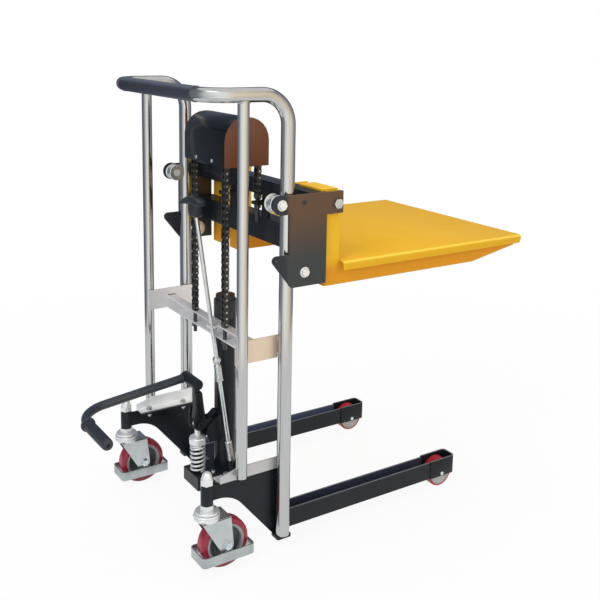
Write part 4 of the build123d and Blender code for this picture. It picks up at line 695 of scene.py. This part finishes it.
# Pump block and lift cylinder: a milled block painted black, the cylinder tube on it, the gland nut on top.
# Socket screws hold the block to the cross beam; the gland is a cast, faceted barrel.
GUSSET_IN, GUSSET_OUT = 18.6, 22.6
BLOCK_TOP = 119.0
BLOCK_SCREW_XS, BLOCK_SCREW_YS = (-32, 32), (-70, 12)
for node in ("pump_block", "yoke_bracket"):
    dress(node, black_paint, ease=0.0012)
dress("lift_cylinder", black_paint, ease=0)
cast_black = finish(
    "cast_black", (0.010, 0.012, 0.0135), (0.022, 0.024, 0.026), (0.26, 0.42), 90, 260, 0.4, specular=0.4
)
dress("cylinder_gland", cast_black, ease=0.002, segments=3, angle=20)
bm = bmesh.new()
gusset = [(-42, 272, 2), (-74, 243, 5), (-80, 226, 3), (-72, 203, 3), (-40, 203, 3)]
for side in (-1, 1):
    hull_plate(bm, gusset, side * GUSSET_IN, side * GUSSET_OUT, 0.8)
fit(bm, "bracket_gussets", "frame", [black_paint], "black_paint")
bm = bmesh.new()
for x in BLOCK_SCREW_XS:
    for y in BLOCK_SCREW_YS:
        lathe(bm, [(0, 0), (6.5, 0), (6.5, 5), (5.8, 6), (3, 6), (3, 3), (0, 3)], (x, y, BLOCK_TOP), steps=24)
fit(bm, "block_screws", "frame", [zinc], "zinc")

# Plunger and return spring: a rod given black paint as painted shade under a bright turned cap, inside an
# open coil of bright wire.
# The roller of the yoke pushes the rod down and the spring lifts it again.
PLUNGER_Y = -98.0
CAP_LOW = 196.2
WIRE_R = 3.0
COIL_R = 17.3
COIL_FOOT = 122.05
CLOSED_PITCH, OPEN_PITCH, OPEN_TURNS = 6.1, 11.74, 5
COIL_STEPS = 36
pale, dull = (0.76, 0.77, 0.78), (0.66, 0.66, 0.66)
ground_steel = finish("ground_steel", pale, dull, (0.14, 0.24), 50, 900, 0.04, (1, 1, 0.3), metallic=1)
bm = bmesh.new()
rod = [(0, 124.7), (8, 124.7), (8, CAP_LOW), (21.6, CAP_LOW), (22.4, 197), (22.4, 211.5), (20.8, 214.5)]
rod += [(11, 219), (8.2, 220), (8, 221), (8, 237), (7, 238.7), (0, 238.7)]
lathe(bm, rod, (0, PLUNGER_Y, 0), steps=44)
# Painted shade: the rod's faces below the cap take the black paint.
for face in bm.faces:
    if face.calc_center_median().z < CAP_LOW + 0.1:
        face.material_index = 1
fit(bm, "plunger_and_cap", "plunger", [bright_zinc, black_paint], "ground_steel", "pump_plunger")
bm = bmesh.new()
first = ring(bm, (COIL_R, PLUNGER_Y, COIL_FOOT), ALONG_Y, WIRE_R, 12)
coil = first
for count, pitch in ((1, CLOSED_PITCH), (OPEN_TURNS, OPEN_PITCH), (1, CLOSED_PITCH)):
    coil = bend_on(bm, coil, (0, PLUNGER_Y, 0), ALONG_Z, 2 * pi * count, COIL_STEPS * count, pitch * count)
cap(bm, first, coil)
spring = fit(bm, "return_spring", None, [bright_zinc], "ground_steel", "pump_spring", crease=60)
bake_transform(spring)

# Pump yoke: two forged cheeks about the roller and pivot, and an arm that leans over to the hub's near end.
# The pedal bar is welded to the hub's far end and bends sideways to a fluted rubber foot grip.
PIVOT_Y, PIVOT_Z = -58.0, 252.0
HEEL_Y, HEEL_Z = -98.0, 255.0
HUB_Y, HUB_Z = -115.0, 372.0
PEDAL_X, PEDAL_BACK, PEDAL_Z = -29.0, -408.0, 337.4
PEDAL_R, PEDAL_BEND = 11.0, 68.0
PEDAL_END = 167.0
CHEEK_IN, CHEEK_OUT = 11.5, 17.5
ARM_POINTS, SQUARENESS = 44, 0.45
gloss_black = finish(
    "gloss_black", (0.016, 0.024, 0.034), (0.022, 0.032, 0.044), (0.26, 0.36), 20, 420, 0.02, specular=0.55
)
bm = bmesh.new()
for cheek in (-1, 1):
    heel = [(HEEL_Y, HEEL_Z, 19), (HEEL_Y - 4, HEEL_Z + 34, 12.5)]
    hull_plate(bm, heel, cheek * CHEEK_IN, cheek * CHEEK_OUT, 1.6)
    tie = [(PIVOT_Y, PIVOT_Z, 12.5), (PLUNGER_Y, PIVOT_Z, 10)]
    hull_plate(bm, tie, cheek * (CHEEK_IN + 0.1), cheek * (CHEEK_OUT - 0.1), 1.2)
    hexagon(bm, (cheek * CHEEK_OUT, PLUNGER_Y, PIVOT_Z), cheek * ALONG_X, 19, 6, 1.2)
    lathe(bm, disc(3.4, 3), (cheek * (CHEEK_OUT + 6), PLUNGER_Y, PIVOT_Z), cheek * ALONG_X, 20)
arm = [(268, 4, -97.5, 13, 14), (270, 4, -97.5, 15, 16), (303, 12, -102.5, 13, 12.8)]
arm += [(345, 20, -109, 12.5, 10.5), (348, 20.5, -109.4, 11, 9)]
neck = [(338, 19, -111.5, 8.5, 7.8), (366, 21, -113.5, 8.5, 7.8)]
for forging in (arm, neck):
    sections = []
    for z, x, y, half_x, half_y in forging:
        sections.append([])
        for turn in turns(ARM_POINTS):
            across, along = (copysign(abs(a) ** SQUARENESS, a) for a in (cos(turn), sin(turn)))
            sections[-1].append((x + half_x * across, y + half_y * along, z))
    skin(bm, sections)
hub = [(0, -38.6), (8, -38.6), (8.6, -40), (11.4, -40), (13.2, -39), (14, -37)]
lathe(bm, both_ends(hub), (0, HUB_Y, HUB_Z), ALONG_X, 40)
fit(bm, "forged_yoke", "pedal", [black_paint], "black_paint", "pump_yoke")
bm = bmesh.new()
roller = both_ends([(5.1, -11), (12, -11), (13, -10)])
lathe(bm, roller, (0, PLUNGER_Y, PIVOT_Z), ALONG_X, 40)
fit(bm, "pump_roller", "yoke_roller", [ground_steel], "ground_steel", "yoke_roller")
bm = bmesh.new()
back = Vector((0, PEDAL_BACK - HUB_Y, PEDAL_Z - HUB_Z)).normalized()
corner = Vector((PEDAL_X, PEDAL_BACK, PEDAL_Z))
begin = Vector((PEDAL_X, HUB_Y, HUB_Z)) + back * 10
first = ring(bm, begin, back, PEDAL_R, 32)
end = run_on(bm, first, corner - back * PEDAL_BEND - begin)
end = bend_on(bm, end, corner - back * PEDAL_BEND + ALONG_X * PEDAL_BEND, back.cross(ALONG_X), QUARTER, 16)
end = run_on(bm, end, (PEDAL_END - PEDAL_X - PEDAL_BEND, 0, 0))
cap(bm, first, end)
weld = []
side_on = ALONG_X.cross(back)
for turn in turns(24):
    weld.append(begin + back * 3.5 + ALONG_X * PEDAL_R * cos(turn) + side_on * PEDAL_R * sin(turn))
weld_run(bm, weld, 1.8, closed=True)
fit(bm, "pedal_tube", "pedal", [gloss_black], "black_paint", "pedal_bar", crease=50)
rubber = finish("fluted_rubber", (0.012, 0.016, 0.024), (0.019, 0.024, 0.034), (0.36, 0.5), 60, 380, 0.15)
FLUTES, POINTS_A_FLUTE = 14, 6
grip = [(42, 11.1, 0), (42, 16.6, 0), (42.8, 17.9, 0), (44.8, 17.9, 0), (45.6, 16.4, 0), (46.6, 13.9, 0)]
grip += [(49, 13.9, 0), (54, 13.7, 0.8), (158, 13.7, 0.8), (163, 13.9, 0), (167, 13.6, 0), (170.6, 12.2, 0)]
grip += [(172, 9.4, 0), (172, 4.2, 0), (168, 3.8, 0)]
bm = bmesh.new()
rings = []
for x, radius, depth in grip:
    rings.append([])
    for turn in turns(FLUTES * POINTS_A_FLUTE):
        r = radius + depth * cos(FLUTES * turn)
        rings[-1].append((x, PEDAL_BACK + r * cos(turn), PEDAL_Z + r * sin(turn)))
skin(bm, rings)
fit(bm, "foot_grip", "pedal", [rubber], "black_rubber", "pedal_grip", crease=30)

# Release linkage: valve stem, slanted rod with a ribbed coupling, and a curved black lever on a holder.
# Turning the lever twists the rod and opens the valve in the pump block.
ROD_X = 50.0
ROD_FOOT = Vector((ROD_X, -28, 160))
ROD_WAY = Vector((0, -95, 640)).normalized()
ROD_LENGTH = 680.4
ROD_R = 5.4
SLEEVE_RIBS, SLEEVE_PITCH = 13, 3.9
COUPLING_RIBS, COUPLING_PITCH = 7, 5.4
LEVER_STEPS, LEVER_BACK, LEVER_SPAN = 12, -79.0, 120.0
dress("valve_stem", black_paint, ease=0)
bm = bmesh.new()
rod = [(0, -8), (8.2, -8), (9.2, -7)]
for i in range(SLEEVE_RIBS):
    rod += [(r, h + SLEEVE_PITCH * i) for r, h in ((9.2, -6.5), (7.8, -5.6), (7.8, -4.4), (9.2, -3.5))]
rod += [(9.2, 45), (7.6, 48), (ROD_R, 49), (ROD_R, 219), (8.6, 220), (10, 221.5), (10, 226)]
for i in range(COUPLING_RIBS):
    rod += [(r, h + COUPLING_PITCH * i) for r, h in ((8.3, 227), (9.6, 228), (9.6, 230.6), (8.3, 231.6))]
rod += [(6.6, 266), (6.6, 269), (8.6, 271), (10.2, 275), (10.2, 282), (8.4, 286)]
rod += [(ROD_R, 288), (ROD_R, 679), (0, 679)]
lathe(bm, rod, ROD_FOOT, ROD_WAY, 28)
rod_steel = finish("rod_steel", (0.66, 0.69, 0.69), (0.54, 0.57, 0.58), (0.2, 0.3), 40, 900, 0.03, metallic=1)
# Painted reflection: the rod is darkened towards its rims.
paint_dark_rim_reflection(rod_steel, (0.40, 0.43, 0.44))
fit(bm, "release_link", "release", [rod_steel], "ground_steel", "release_rod")
lever_black = finish(
    "lever_black", (0.010, 0.014, 0.019), (0.015, 0.020, 0.026), (0.24, 0.36), 30, 400, 0.06, specular=0.4
)
bm = bmesh.new()
top = stand(ROD_FOOT, ROD_WAY) @ Matrix.Translation((0, 0, ROD_LENGTH))
block(bm, top @ Matrix.Translation((2, 0, -2)), (31, 22, 34), 3.5, 4)
sections = []
for i in range(LEVER_STEPS + 1):
    along = i / LEVER_STEPS
    wide = 5.5 + 5.5 * min(1, 1.6 * along)
    low = -1 + 14 * sin(1.95 * along)
    high = 3 + 29 * sin(2.35 * along)
    corners = ((-wide, low), (wide, low), (wide, high), (-wide, high))
    sections.append([top @ Vector((LEVER_BACK + LEVER_SPAN * along, y, z)) for y, z in corners])
rings = skin(bm, sections)
bmesh.ops.recalc_face_normals(bm, faces=bm.faces)
blade = edges_of(v for ring_verts in rings for v in ring_verts)
ease_edges(bm, [e for e in blade if e.calc_face_angle(0) > 0.6], 1.6)
fit(bm, "lever", "release", [lever_black], "black_paint", "release_lever", crease=50)

# Ram: a ground rod under a black crosshead that carries the pulley axle, the pulleys and their arched cover.
# The cover is folded sheet with brown end plates and two screws low on its back.
RAM_Y = -17.0
COVER_HALF, COVER_END, COVER_T, COVER_BEND = 61.5, 108.5, 2.0, 57.0
COVER_LOW, COVER_TOP = 936.0, 1056.0
SCREW_X, SCREW_Y, SCREW_Z = 42.0, -78.5, 946.5
dress("piston_rod", ground_steel, ease=0)
dress("crosshead", black_paint, ease=0.001)
for node in ("pulley_axle", "chain_pulleys"):
    dress(node, black_paint, ease=0)
cover_paint = finish(
    "cover_paint", (0.005, 0.0075, 0.0105), (0.008, 0.011, 0.015), (0.16, 0.24), 10, 420, 0.02, specular=0.22
)
end_brown = finish(
    "end_brown", (0.19, 0.066, 0.030), (0.16, 0.058, 0.028), (0.24, 0.34), 10, 420, 0.02, specular=0.2
)
bm = bmesh.new()
hood = bent_strip(COVER_HALF, COVER_LOW, COVER_TOP, COVER_T, COVER_BEND)
inside = COVER_END - COVER_T - 0.1
prism(bm, [(-inside, RAM_Y + u, v) for u, v in hood], (2 * inside, 0, 0))
hood_faces = set(bm.faces)
for x in (-COVER_END, COVER_END - COVER_T):
    prism(bm, [(x, RAM_Y + u, v) for u, v in hood[: len(hood) // 2]], (COVER_T, 0, 0))
second_finish(bm, hood_faces)
ease_rims(bm, 0.6)
fit(bm, "arched_cover", "ram", [cover_paint, end_brown], "black_paint", "chain_cover", crease=40)
bm = bmesh.new()
for x in (-SCREW_X, SCREW_X):
    lathe(bm, [(0, 0), (5, 0), (5, 1), (3.4, 2.6), (0, 3)], (x, SCREW_Y, SCREW_Z), -ALONG_Y, 24)
fit(bm, "cover_screws", "ram", [zinc], "zinc")

# Chains: roller chain with black oiled plates and bright pin ends, two runs side by side.
# The rear runs hang from the mast channel, the wraps go over the pulleys, the front runs lift the carriage.
CHAIN_XS = (-82.0, 82.0)
PULLEY_Z = 999.0
PITCH = 15.875
WRAP_LINKS = 9
CHAIN_R = PITCH / (2 * sin(radians(90 / WRAP_LINKS)))
REAR_LINKS, FRONT_LINKS = 29, 9
PLATE_END, PLATE_WAIST = 6.9, 5.2
LINK_T, OUTER_X, INNER_X = 2.0, 7.1, 4.8
PIN_R, PIN_LENGTH, BUSH_R, BUSH_LENGTH = 2.6, 20.4, 5.08, 9.4
oiled_black = finish("oiled_black", (0.020, 0.020, 0.021), (0.034, 0.033, 0.032), (0.22, 0.4), 120, 700, 0.1)


def chain_link(bm, first_joint, next_joint, outer, last=False):
    """One link of both chains between two joints (y, z), with the pin and roller of its first joint."""
    a, b = Vector((0, *first_joint)), Vector((0, *next_joint))
    way = (b - a).normalized()
    lift = ALONG_X.cross(way)
    outline = []
    for end, sign in ((a, -1), (b, 1)):
        for angle in (-70, -35, 0, 35, 70):
            turn = radians(angle)
            spoke = way * sign * cos(turn) + lift * sign * sin(turn)
            outline.append(end + spoke * PLATE_END)
        outline.append((a + b) / 2 + lift * sign * PLATE_WAIST)
    inset = OUTER_X if outer else INNER_X
    for chain_x in CHAIN_XS:
        for low in (chain_x + inset, chain_x - inset - LINK_T):
            prism(bm, [p + ALONG_X * low for p in outline], (LINK_T, 0, 0))
        for joint in (a, b) if last else (a,):
            place = Matrix.Translation(joint + ALONG_X * chain_x) @ Matrix.Rotation(QUARTER, 4, "Y")
            pin = bar(bm, place, PIN_R, PIN_LENGTH, 10)
            for face in {f for v in pin for f in v.link_faces}:
                face.material_index = 1
            bar(bm, place, BUSH_R, BUSH_LENGTH, 12)


def chain_run(joints, first):
    """A run of links through joints, inner and outer links in turn."""
    bm = bmesh.new()
    for i, (a, b) in enumerate(zip(joints, joints[1:])):
        chain_link(bm, a, b, (first + i) % 2 == 0, i == len(joints) - 2)
    return bm


rear_y, front_y = RAM_Y - CHAIN_R, RAM_Y + CHAIN_R
rear = [(rear_y, PULLEY_Z - (REAR_LINKS - i) * PITCH) for i in range(REAR_LINKS + 1)]
links = [oiled_black, zinc]
bm = chain_run(rear, 0)
rear_chain = fit(bm, "chain_rear", None, links, "dark_steel", "chain_rear_runs", crease=40)
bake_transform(rear_chain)
over = [pi * (1 - i / WRAP_LINKS) for i in range(WRAP_LINKS + 1)]
wrap = [(RAM_Y + CHAIN_R * cos(a), PULLEY_Z + CHAIN_R * sin(a)) for a in over]
bm = chain_run(wrap, REAR_LINKS)
fit(bm, "chain_wrap", "ram", links, "dark_steel", "chain_wraps", crease=40)
# The front run is drawn out to its longest and gathered up into the cover, where it is out of sight at rest.
GATHER_TOP, GATHER_FOOT, PAY_OUT = 1011.0, 939.0, 307.0
gather = GATHER_TOP - GATHER_FOOT
spare = int((PAY_OUT + GATHER_TOP - PULLEY_Z) / PITCH)
front_low = PULLEY_Z - FRONT_LINKS * PITCH
front = [(front_y, front_low + i * PITCH) for i in range(FRONT_LINKS + spare + 1)]
bm = chain_run(front[::-1], REAR_LINKS + WRAP_LINKS - spare)
for v in bm.verts:
    drop = GATHER_TOP - (v.co.z - PAY_OUT)
    if drop < gather + PAY_OUT:
        low, high = 0.0, 1.0
        for _ in range(30):
            share = (low + high) / 2
            paid = gather * share + PAY_OUT * share * share * (3 - 2 * share)
            low, high = (share, high) if paid < drop else (low, share)
        v.co.z = GATHER_TOP - gather * low
front_chain = fit(bm, "chain_front", None, links, "dark_steel", "chain_front_runs", crease=40)
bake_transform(front_chain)
for node in ("chain_bolts_rear", "chain_bolts_front"):
    dress(node, oiled_black, ease=0.0006)

# Carriage: flame-cut side plates with an ear, an arm and a lug, two crossbars and the chain brackets.
# Zinc bolts with washers go through the plates; grooved steel rollers run behind and in front of the tubes.
PLATE_OUT, BOLT_INNER = 294.0, 249.6
ROLLER_OFF, GROOVE_HALF = 32.0, 11.2
ROLLERS = (("upper", -ROLLER_OFF, 873.0), ("lower", ROLLER_OFF, 710.0))
PLUG_Y, PLUG_Z, PIN_Y, PIN_Z = 28.0, 875.0, -47.0, 746.0
plate_paint_warm_reflection = finish(
    "plate_paint_warm_reflection", (0.041, 0.050, 0.050), (0.047, 0.054, 0.053), (0.28, 0.38), 12, 420, 0.03, specular=0.22
)
# Painted reflection: the plates are mixed to a warm brown towards the top, and to a dark blue-grey more than
# 12 to 22 mm behind the tube centres, where that warm reflection is kept off.
tint(plate_paint_warm_reflection, "Object", "Z", 0.74, 0.85, (0.125, 0.068, 0.038))
tint(plate_paint_warm_reflection, "Object", "Y", (mast_y - 12) * MM, (mast_y - 22) * MM, (0.026, 0.031, 0.040))
for node in ("carriage_plate_l", "carriage_plate_r"):
    dress(node, plate_paint_warm_reflection, ease=0.001)
for node in ("crossbars", "chain_brackets"):
    dress(node, black_paint, ease=0.0015)
dress("fork_bar", bolt_zinc, ease=0.0006)
bm = bmesh.new()
for side in (-1, 1):
    for _, y, z in ROLLERS:
        lathe(bm, disc(12.6, WASHER_T), (side * PLATE_OUT, y, z), side * ALONG_X, 32)
        hexagon(bm, (side * (PLATE_OUT + 1), y, z), side * ALONG_X, 18, 7.6, 1.4)
        shank = [(0, 0), (9.4, 0), (9.4, 1.4), (8, 1.4), (8, 44.4), (0, 44.4)]
        lathe(bm, shank, (side * BOLT_INNER, y, z), side * ALONG_X, 28)
fit(bm, "roller_bolts", "carriage", [bright_zinc], "zinc", "carriage_bolts")
bm = bmesh.new()
for side in (-1, 1):
    plug = [(0, 0), (6, 0), (6, 0.8), (4.5, 0.9), (4.5, 0.3), (0, 0.3)]
    lathe(bm, plug, (side * PLATE_OUT, PLUG_Y, PLUG_Z), side * ALONG_X, 24)
    pin = [(0, -9), (3.4, -9), (4.2, -8), (4.2, 2), (3.2, 3), (0, 3)]
    lathe(bm, pin, (side * PLATE_OUT, PIN_Y, PIN_Z), side * ALONG_X, 20)
fit(bm, "plate_plugs", "carriage", [oiled_black], "dark_steel")
for name, y, z in ROLLERS:
    bm = bmesh.new()
    for side in (-1, 1):
        groove = [(8.2, -14), (20.5, -14), (22, -12.8)]
        for i in range(9):
            across = -GROOVE_HALF + 2 * GROOVE_HALF * i / 8
            groove.append((ROLLER_OFF - sqrt((TUBE_R + 0.4) ** 2 - across**2), across))
        groove += [(22, 12.8), (20.5, 14), (8.2, 14)]
        lathe(bm, groove, (side * HALF_SPAN, y, z), ALONG_X, 48)
    fit(bm, f"{name}_grooved_rollers", f"{name}_rollers", [zinc], "zinc", f"{name}_rollers")

# Forks and platform: folded sheet painted yellow, the forks hooked over the upper crossbar.
# The platform sheet lies on the forks with its sides turned down over a round bend.
DECK_HALF, DECK_T, DECK_BEND = 301.5, 3.0, 9.0
DECK_LOW, DECK_TOP = 701.0, 723.0
DECK_REAR, DECK_FRONT, CORNER_CUT = 140.0, 741.4, 6.0
HOLE_X, HOLE_Y, HOLE_Z = 241.0, 97.0, 810.0
yellow_paint = finish(
    "yellow_paint", (0.83, 0.465, 0.020), (0.80, 0.435, 0.017), (0.32, 0.42), 9, 420, 0.02, specular=0.08
)
fork_paint_lit_and_shaded = finish(
    "fork_paint_lit_and_shaded", (0.95, 0.545, 0.030), (0.91, 0.51, 0.026), (0.32, 0.42), 9, 420, 0.02, specular=0.08
)
# Painted light and shade: the forks take a lighter copy of the yellow, mixed to a darker orange from 0.73 m
# down to 0.70 m, the shade under the deck.
tint(fork_paint_lit_and_shaded, "Object", "Z", 0.73, 0.70, (0.79, 0.335, 0.018))
for node in ("fork_l", "fork_r"):
    dress(node, fork_paint_lit_and_shaded, ease=0.0015)
deck_paint_bend_highlight = same_finish(yellow_paint, "deck_paint_bend_highlight")
# Painted highlight: the deck's bends are mixed to a lighter yellow, and its turned-down sides to a deeper
# one.
tint(deck_paint_bend_highlight, "Normal", "X", 0.2, 0.5, (0.97, 0.66, 0.085), about=0)
tint(deck_paint_bend_highlight, "Normal", "X", 0.75, 0.95, (0.80, 0.44, 0.020), about=0)
bm = bmesh.new()
sheet = bent_strip(DECK_HALF, DECK_LOW, DECK_TOP, DECK_T, DECK_BEND)
front_end = prism(bm, [(u, DECK_REAR, v) for u, v in sheet], (0, DECK_FRONT - DECK_REAR, 0))
for v in front_end:
    if v.co.z < DECK_LOW + 1:
        v.co.y -= CORNER_CUT
ease_rims(bm, 0.5)
fit(bm, "folded_deck", "carriage", [deck_paint_bend_highlight], "yellow_paint", "platform_deck", crease=40)
bm = bmesh.new()
for side in (-1, 1):
    rim = [(0, 0), (6.5, 0), (6.5, 0.6), (5, 0.7), (5, 0.2), (0, 0.2)]
    lathe(bm, rim, (side * HOLE_X, HOLE_Y, HOLE_Z), -ALONG_Y, 24)
fit(bm, "fork_holes", "carriage", [oiled_black], "dark_steel")

# Studio: a wide pale floor with a faint shadow near the stacker, in an even white room.
# Both are plain white to the camera, in mirrors and through clear pieces, and give soft light to all else.
FLOOR_HALF = 200
SHADOW_NEAR, SHADOW_FAR, NEAR_GLOW = 0.8, 2.4, 0.92


def background_rays(tree):
    """One for camera, glossy and transmission rays, which all see the same white."""
    path = shade(tree, "LightPath")
    seen = path["Is Camera Ray"]
    for kind in ("Is Glossy Ray", "Is Transmission Ray"):
        seen = shade(tree, "Math", {0: seen, 1: path[kind]}, operation="MAXIMUM")[0]
    return seen


def emptied(data):
    """The node tree of a material or a world, with nothing in it yet."""
    data.use_nodes = True
    data.node_tree.nodes.clear()
    return data.node_tree


bm = bmesh.new()
bmesh.ops.create_grid(bm, x_segments=1, y_segments=1, size=FLOOR_HALF)
pale_floor = bpy.data.materials.new("pale_floor")
floor = put_in(bm, "floor", pale_floor)
tree = emptied(pale_floor)
reach = shade(tree, "VectorMath", {0: shade(tree, "TexCoord")["Object"]}, operation="LENGTH")
limits = {"From Min": SHADOW_NEAR, "From Max": SHADOW_FAR, "To Min": NEAR_GLOW}
fade = shade(tree, "MapRange", {"Value": reach["Value"], **limits})["Result"]
glowing = shade(tree, "Math", {0: background_rays(tree), 1: fade}, operation="MULTIPLY")[0]
matte = shade(tree, "BsdfDiffuse", {"Color": (0.9, 0.9, 0.9, 1)})[0]
lit = shade(tree, "MixShader", {0: glowing, 1: matte, 2: shade(tree, "Emission")[0]})
shade(tree, "OutputMaterial", {0: lit[0]})
scene.world = bpy.data.worlds.new("studio")
tree = emptied(scene.world)
soft = shade(tree, "Background", {"Color": (0.95, 0.97, 1.0, 1), "Strength": 0.5})[0]
white = shade(tree, "Background", {"Color": (1, 1, 1, 1)})[0]
both = shade(tree, "MixShader", {0: background_rays(tree), 1: soft, 2: white})
shade(tree, "OutputWorld", {0: both[0]})

# Surround: a ring of grey and warm cards that only polished faces mirror, as in the room of the photograph.
# Three large soft lamps stand in for its windows; the cards' tones go by bearing from the camera's side.
VIEW_SIDE = -33.4
CARD_R, CARD_H = 1.7, 2.8
CARD_TONES = (
    (-125, (0.17, 0.19, 0.25)),
    (-70, (0.30, 0.31, 0.34)),
    (-42, (0.94, 0.96, 0.98)),
    (-8, (1.42, 1.42, 1.42)),
    (20, (1.40, 1.28, 1.07)),
    (54, (1.10, 0.92, 0.69)),
    (84, (0.50, 0.49, 0.48)),
    (125, (0.26, 0.28, 0.33)),
    (165, (0.17, 0.19, 0.25)),
)
bm = bmesh.new()
bmesh.ops.create_cone(bm, cap_ends=False, segments=64, radius1=CARD_R, radius2=CARD_R, depth=CARD_H)
bmesh.ops.translate(bm, verts=bm.verts, vec=(0, 0, CARD_H / 2))
card_tone = bpy.data.materials.new("card_tone")
cards = put_in(bm, "card_ring", card_tone)
tree = emptied(card_tone)
cards.visible_camera = cards.visible_diffuse = cards.visible_transmission = cards.visible_shadow = False
parts = shade(tree, "SeparateXYZ", {0: shade(tree, "TexCoord")["Object"]})
bearing = shade(tree, "Math", {0: parts["Y"], 1: parts["X"]}, operation="ARCTAN2")[0]
turn = shade(tree, "MapRange", {"Value": bearing, "From Min": -pi, "From Max": pi})
ramp = tree.nodes.new("ShaderNodeValToRGB")
tree.links.new(turn["Result"], ramp.inputs["Fac"])
for end in ramp.color_ramp.elements:
    end.color = (*CARD_TONES[0][1], 1)
for angle, tone in CARD_TONES:
    stop = ramp.color_ramp.elements.new(((angle + VIEW_SIDE + 180) % 360) / 360)
    stop.color = (*tone, 1)
shine = shade(tree, "Emission", {"Color": ramp.outputs["Color"]})
shade(tree, "OutputMaterial", {0: shine[0]})


def soft_lamp(name, place, aim, size, power, tone=(1, 1, 1), mirrored=True):
    """A large square lamp turned towards a point."""
    data = bpy.data.lights.new(name, "AREA")
    data.size = size
    data.energy = power
    data.color = tone
    lamp = bpy.data.objects.new(name, data)
    lamp.location = place
    lamp.rotation_mode = "QUATERNION"
    lamp.rotation_quaternion = (Vector(aim) - Vector(place)).to_track_quat("-Z", "Y")
    lamp.visible_glossy = mirrored
    scene.collection.objects.link(lamp)


soft_lamp("key", (1.0, -2.6, 3.0), (0, 0, 0.5), 2.2, 55)
soft_lamp("fill", (3.2, 1.2, 1.8), (0, 0, 0.5), 2.0, 28, (1, 0.97, 0.93))
soft_lamp("top", (-0.6, 0.4, 3.4), (0, 0, 0.5), 2.4, 40, mirrored=False)

# Camera: where the photograph was taken from, fitted to named points of the stacker.
# The principal row lies above the middle, as in a cropped picture, so the camera has a vertical shift.
AZIMUTH, PITCH_DOWN, ROLL = 56.617, 10.208, 0.991
FOCAL_PX, PRINCIPAL_ROW, FRAME_PX = 892.1, 195.0, 600.0
EYE = (1.9660, -1.0861, 1.2543)
camera_data = bpy.data.cameras.new("camera")
camera_data.sensor_width = 36
camera_data.lens = FOCAL_PX / FRAME_PX * camera_data.sensor_width
camera_data.shift_y = (PRINCIPAL_ROW - FRAME_PX / 2) / FRAME_PX
camera = bpy.data.objects.new("camera", camera_data)
scene.collection.objects.link(camera)
azimuth, pitch = radians(AZIMUTH), radians(PITCH_DOWN)
back = Vector((sin(azimuth) * cos(pitch), -cos(azimuth) * cos(pitch), sin(pitch)))
camera.rotation_mode = "QUATERNION"
upright = (-back).to_track_quat("-Z", "Y")
camera.rotation_quaternion = upright @ Matrix.Rotation(radians(ROLL), 3, "Z").to_quaternion()
camera.location = (EYE[0], EYE[1] + mast_y * MM, EYE[2])
scene.camera = camera
scene.view_settings.view_transform = "Standard"
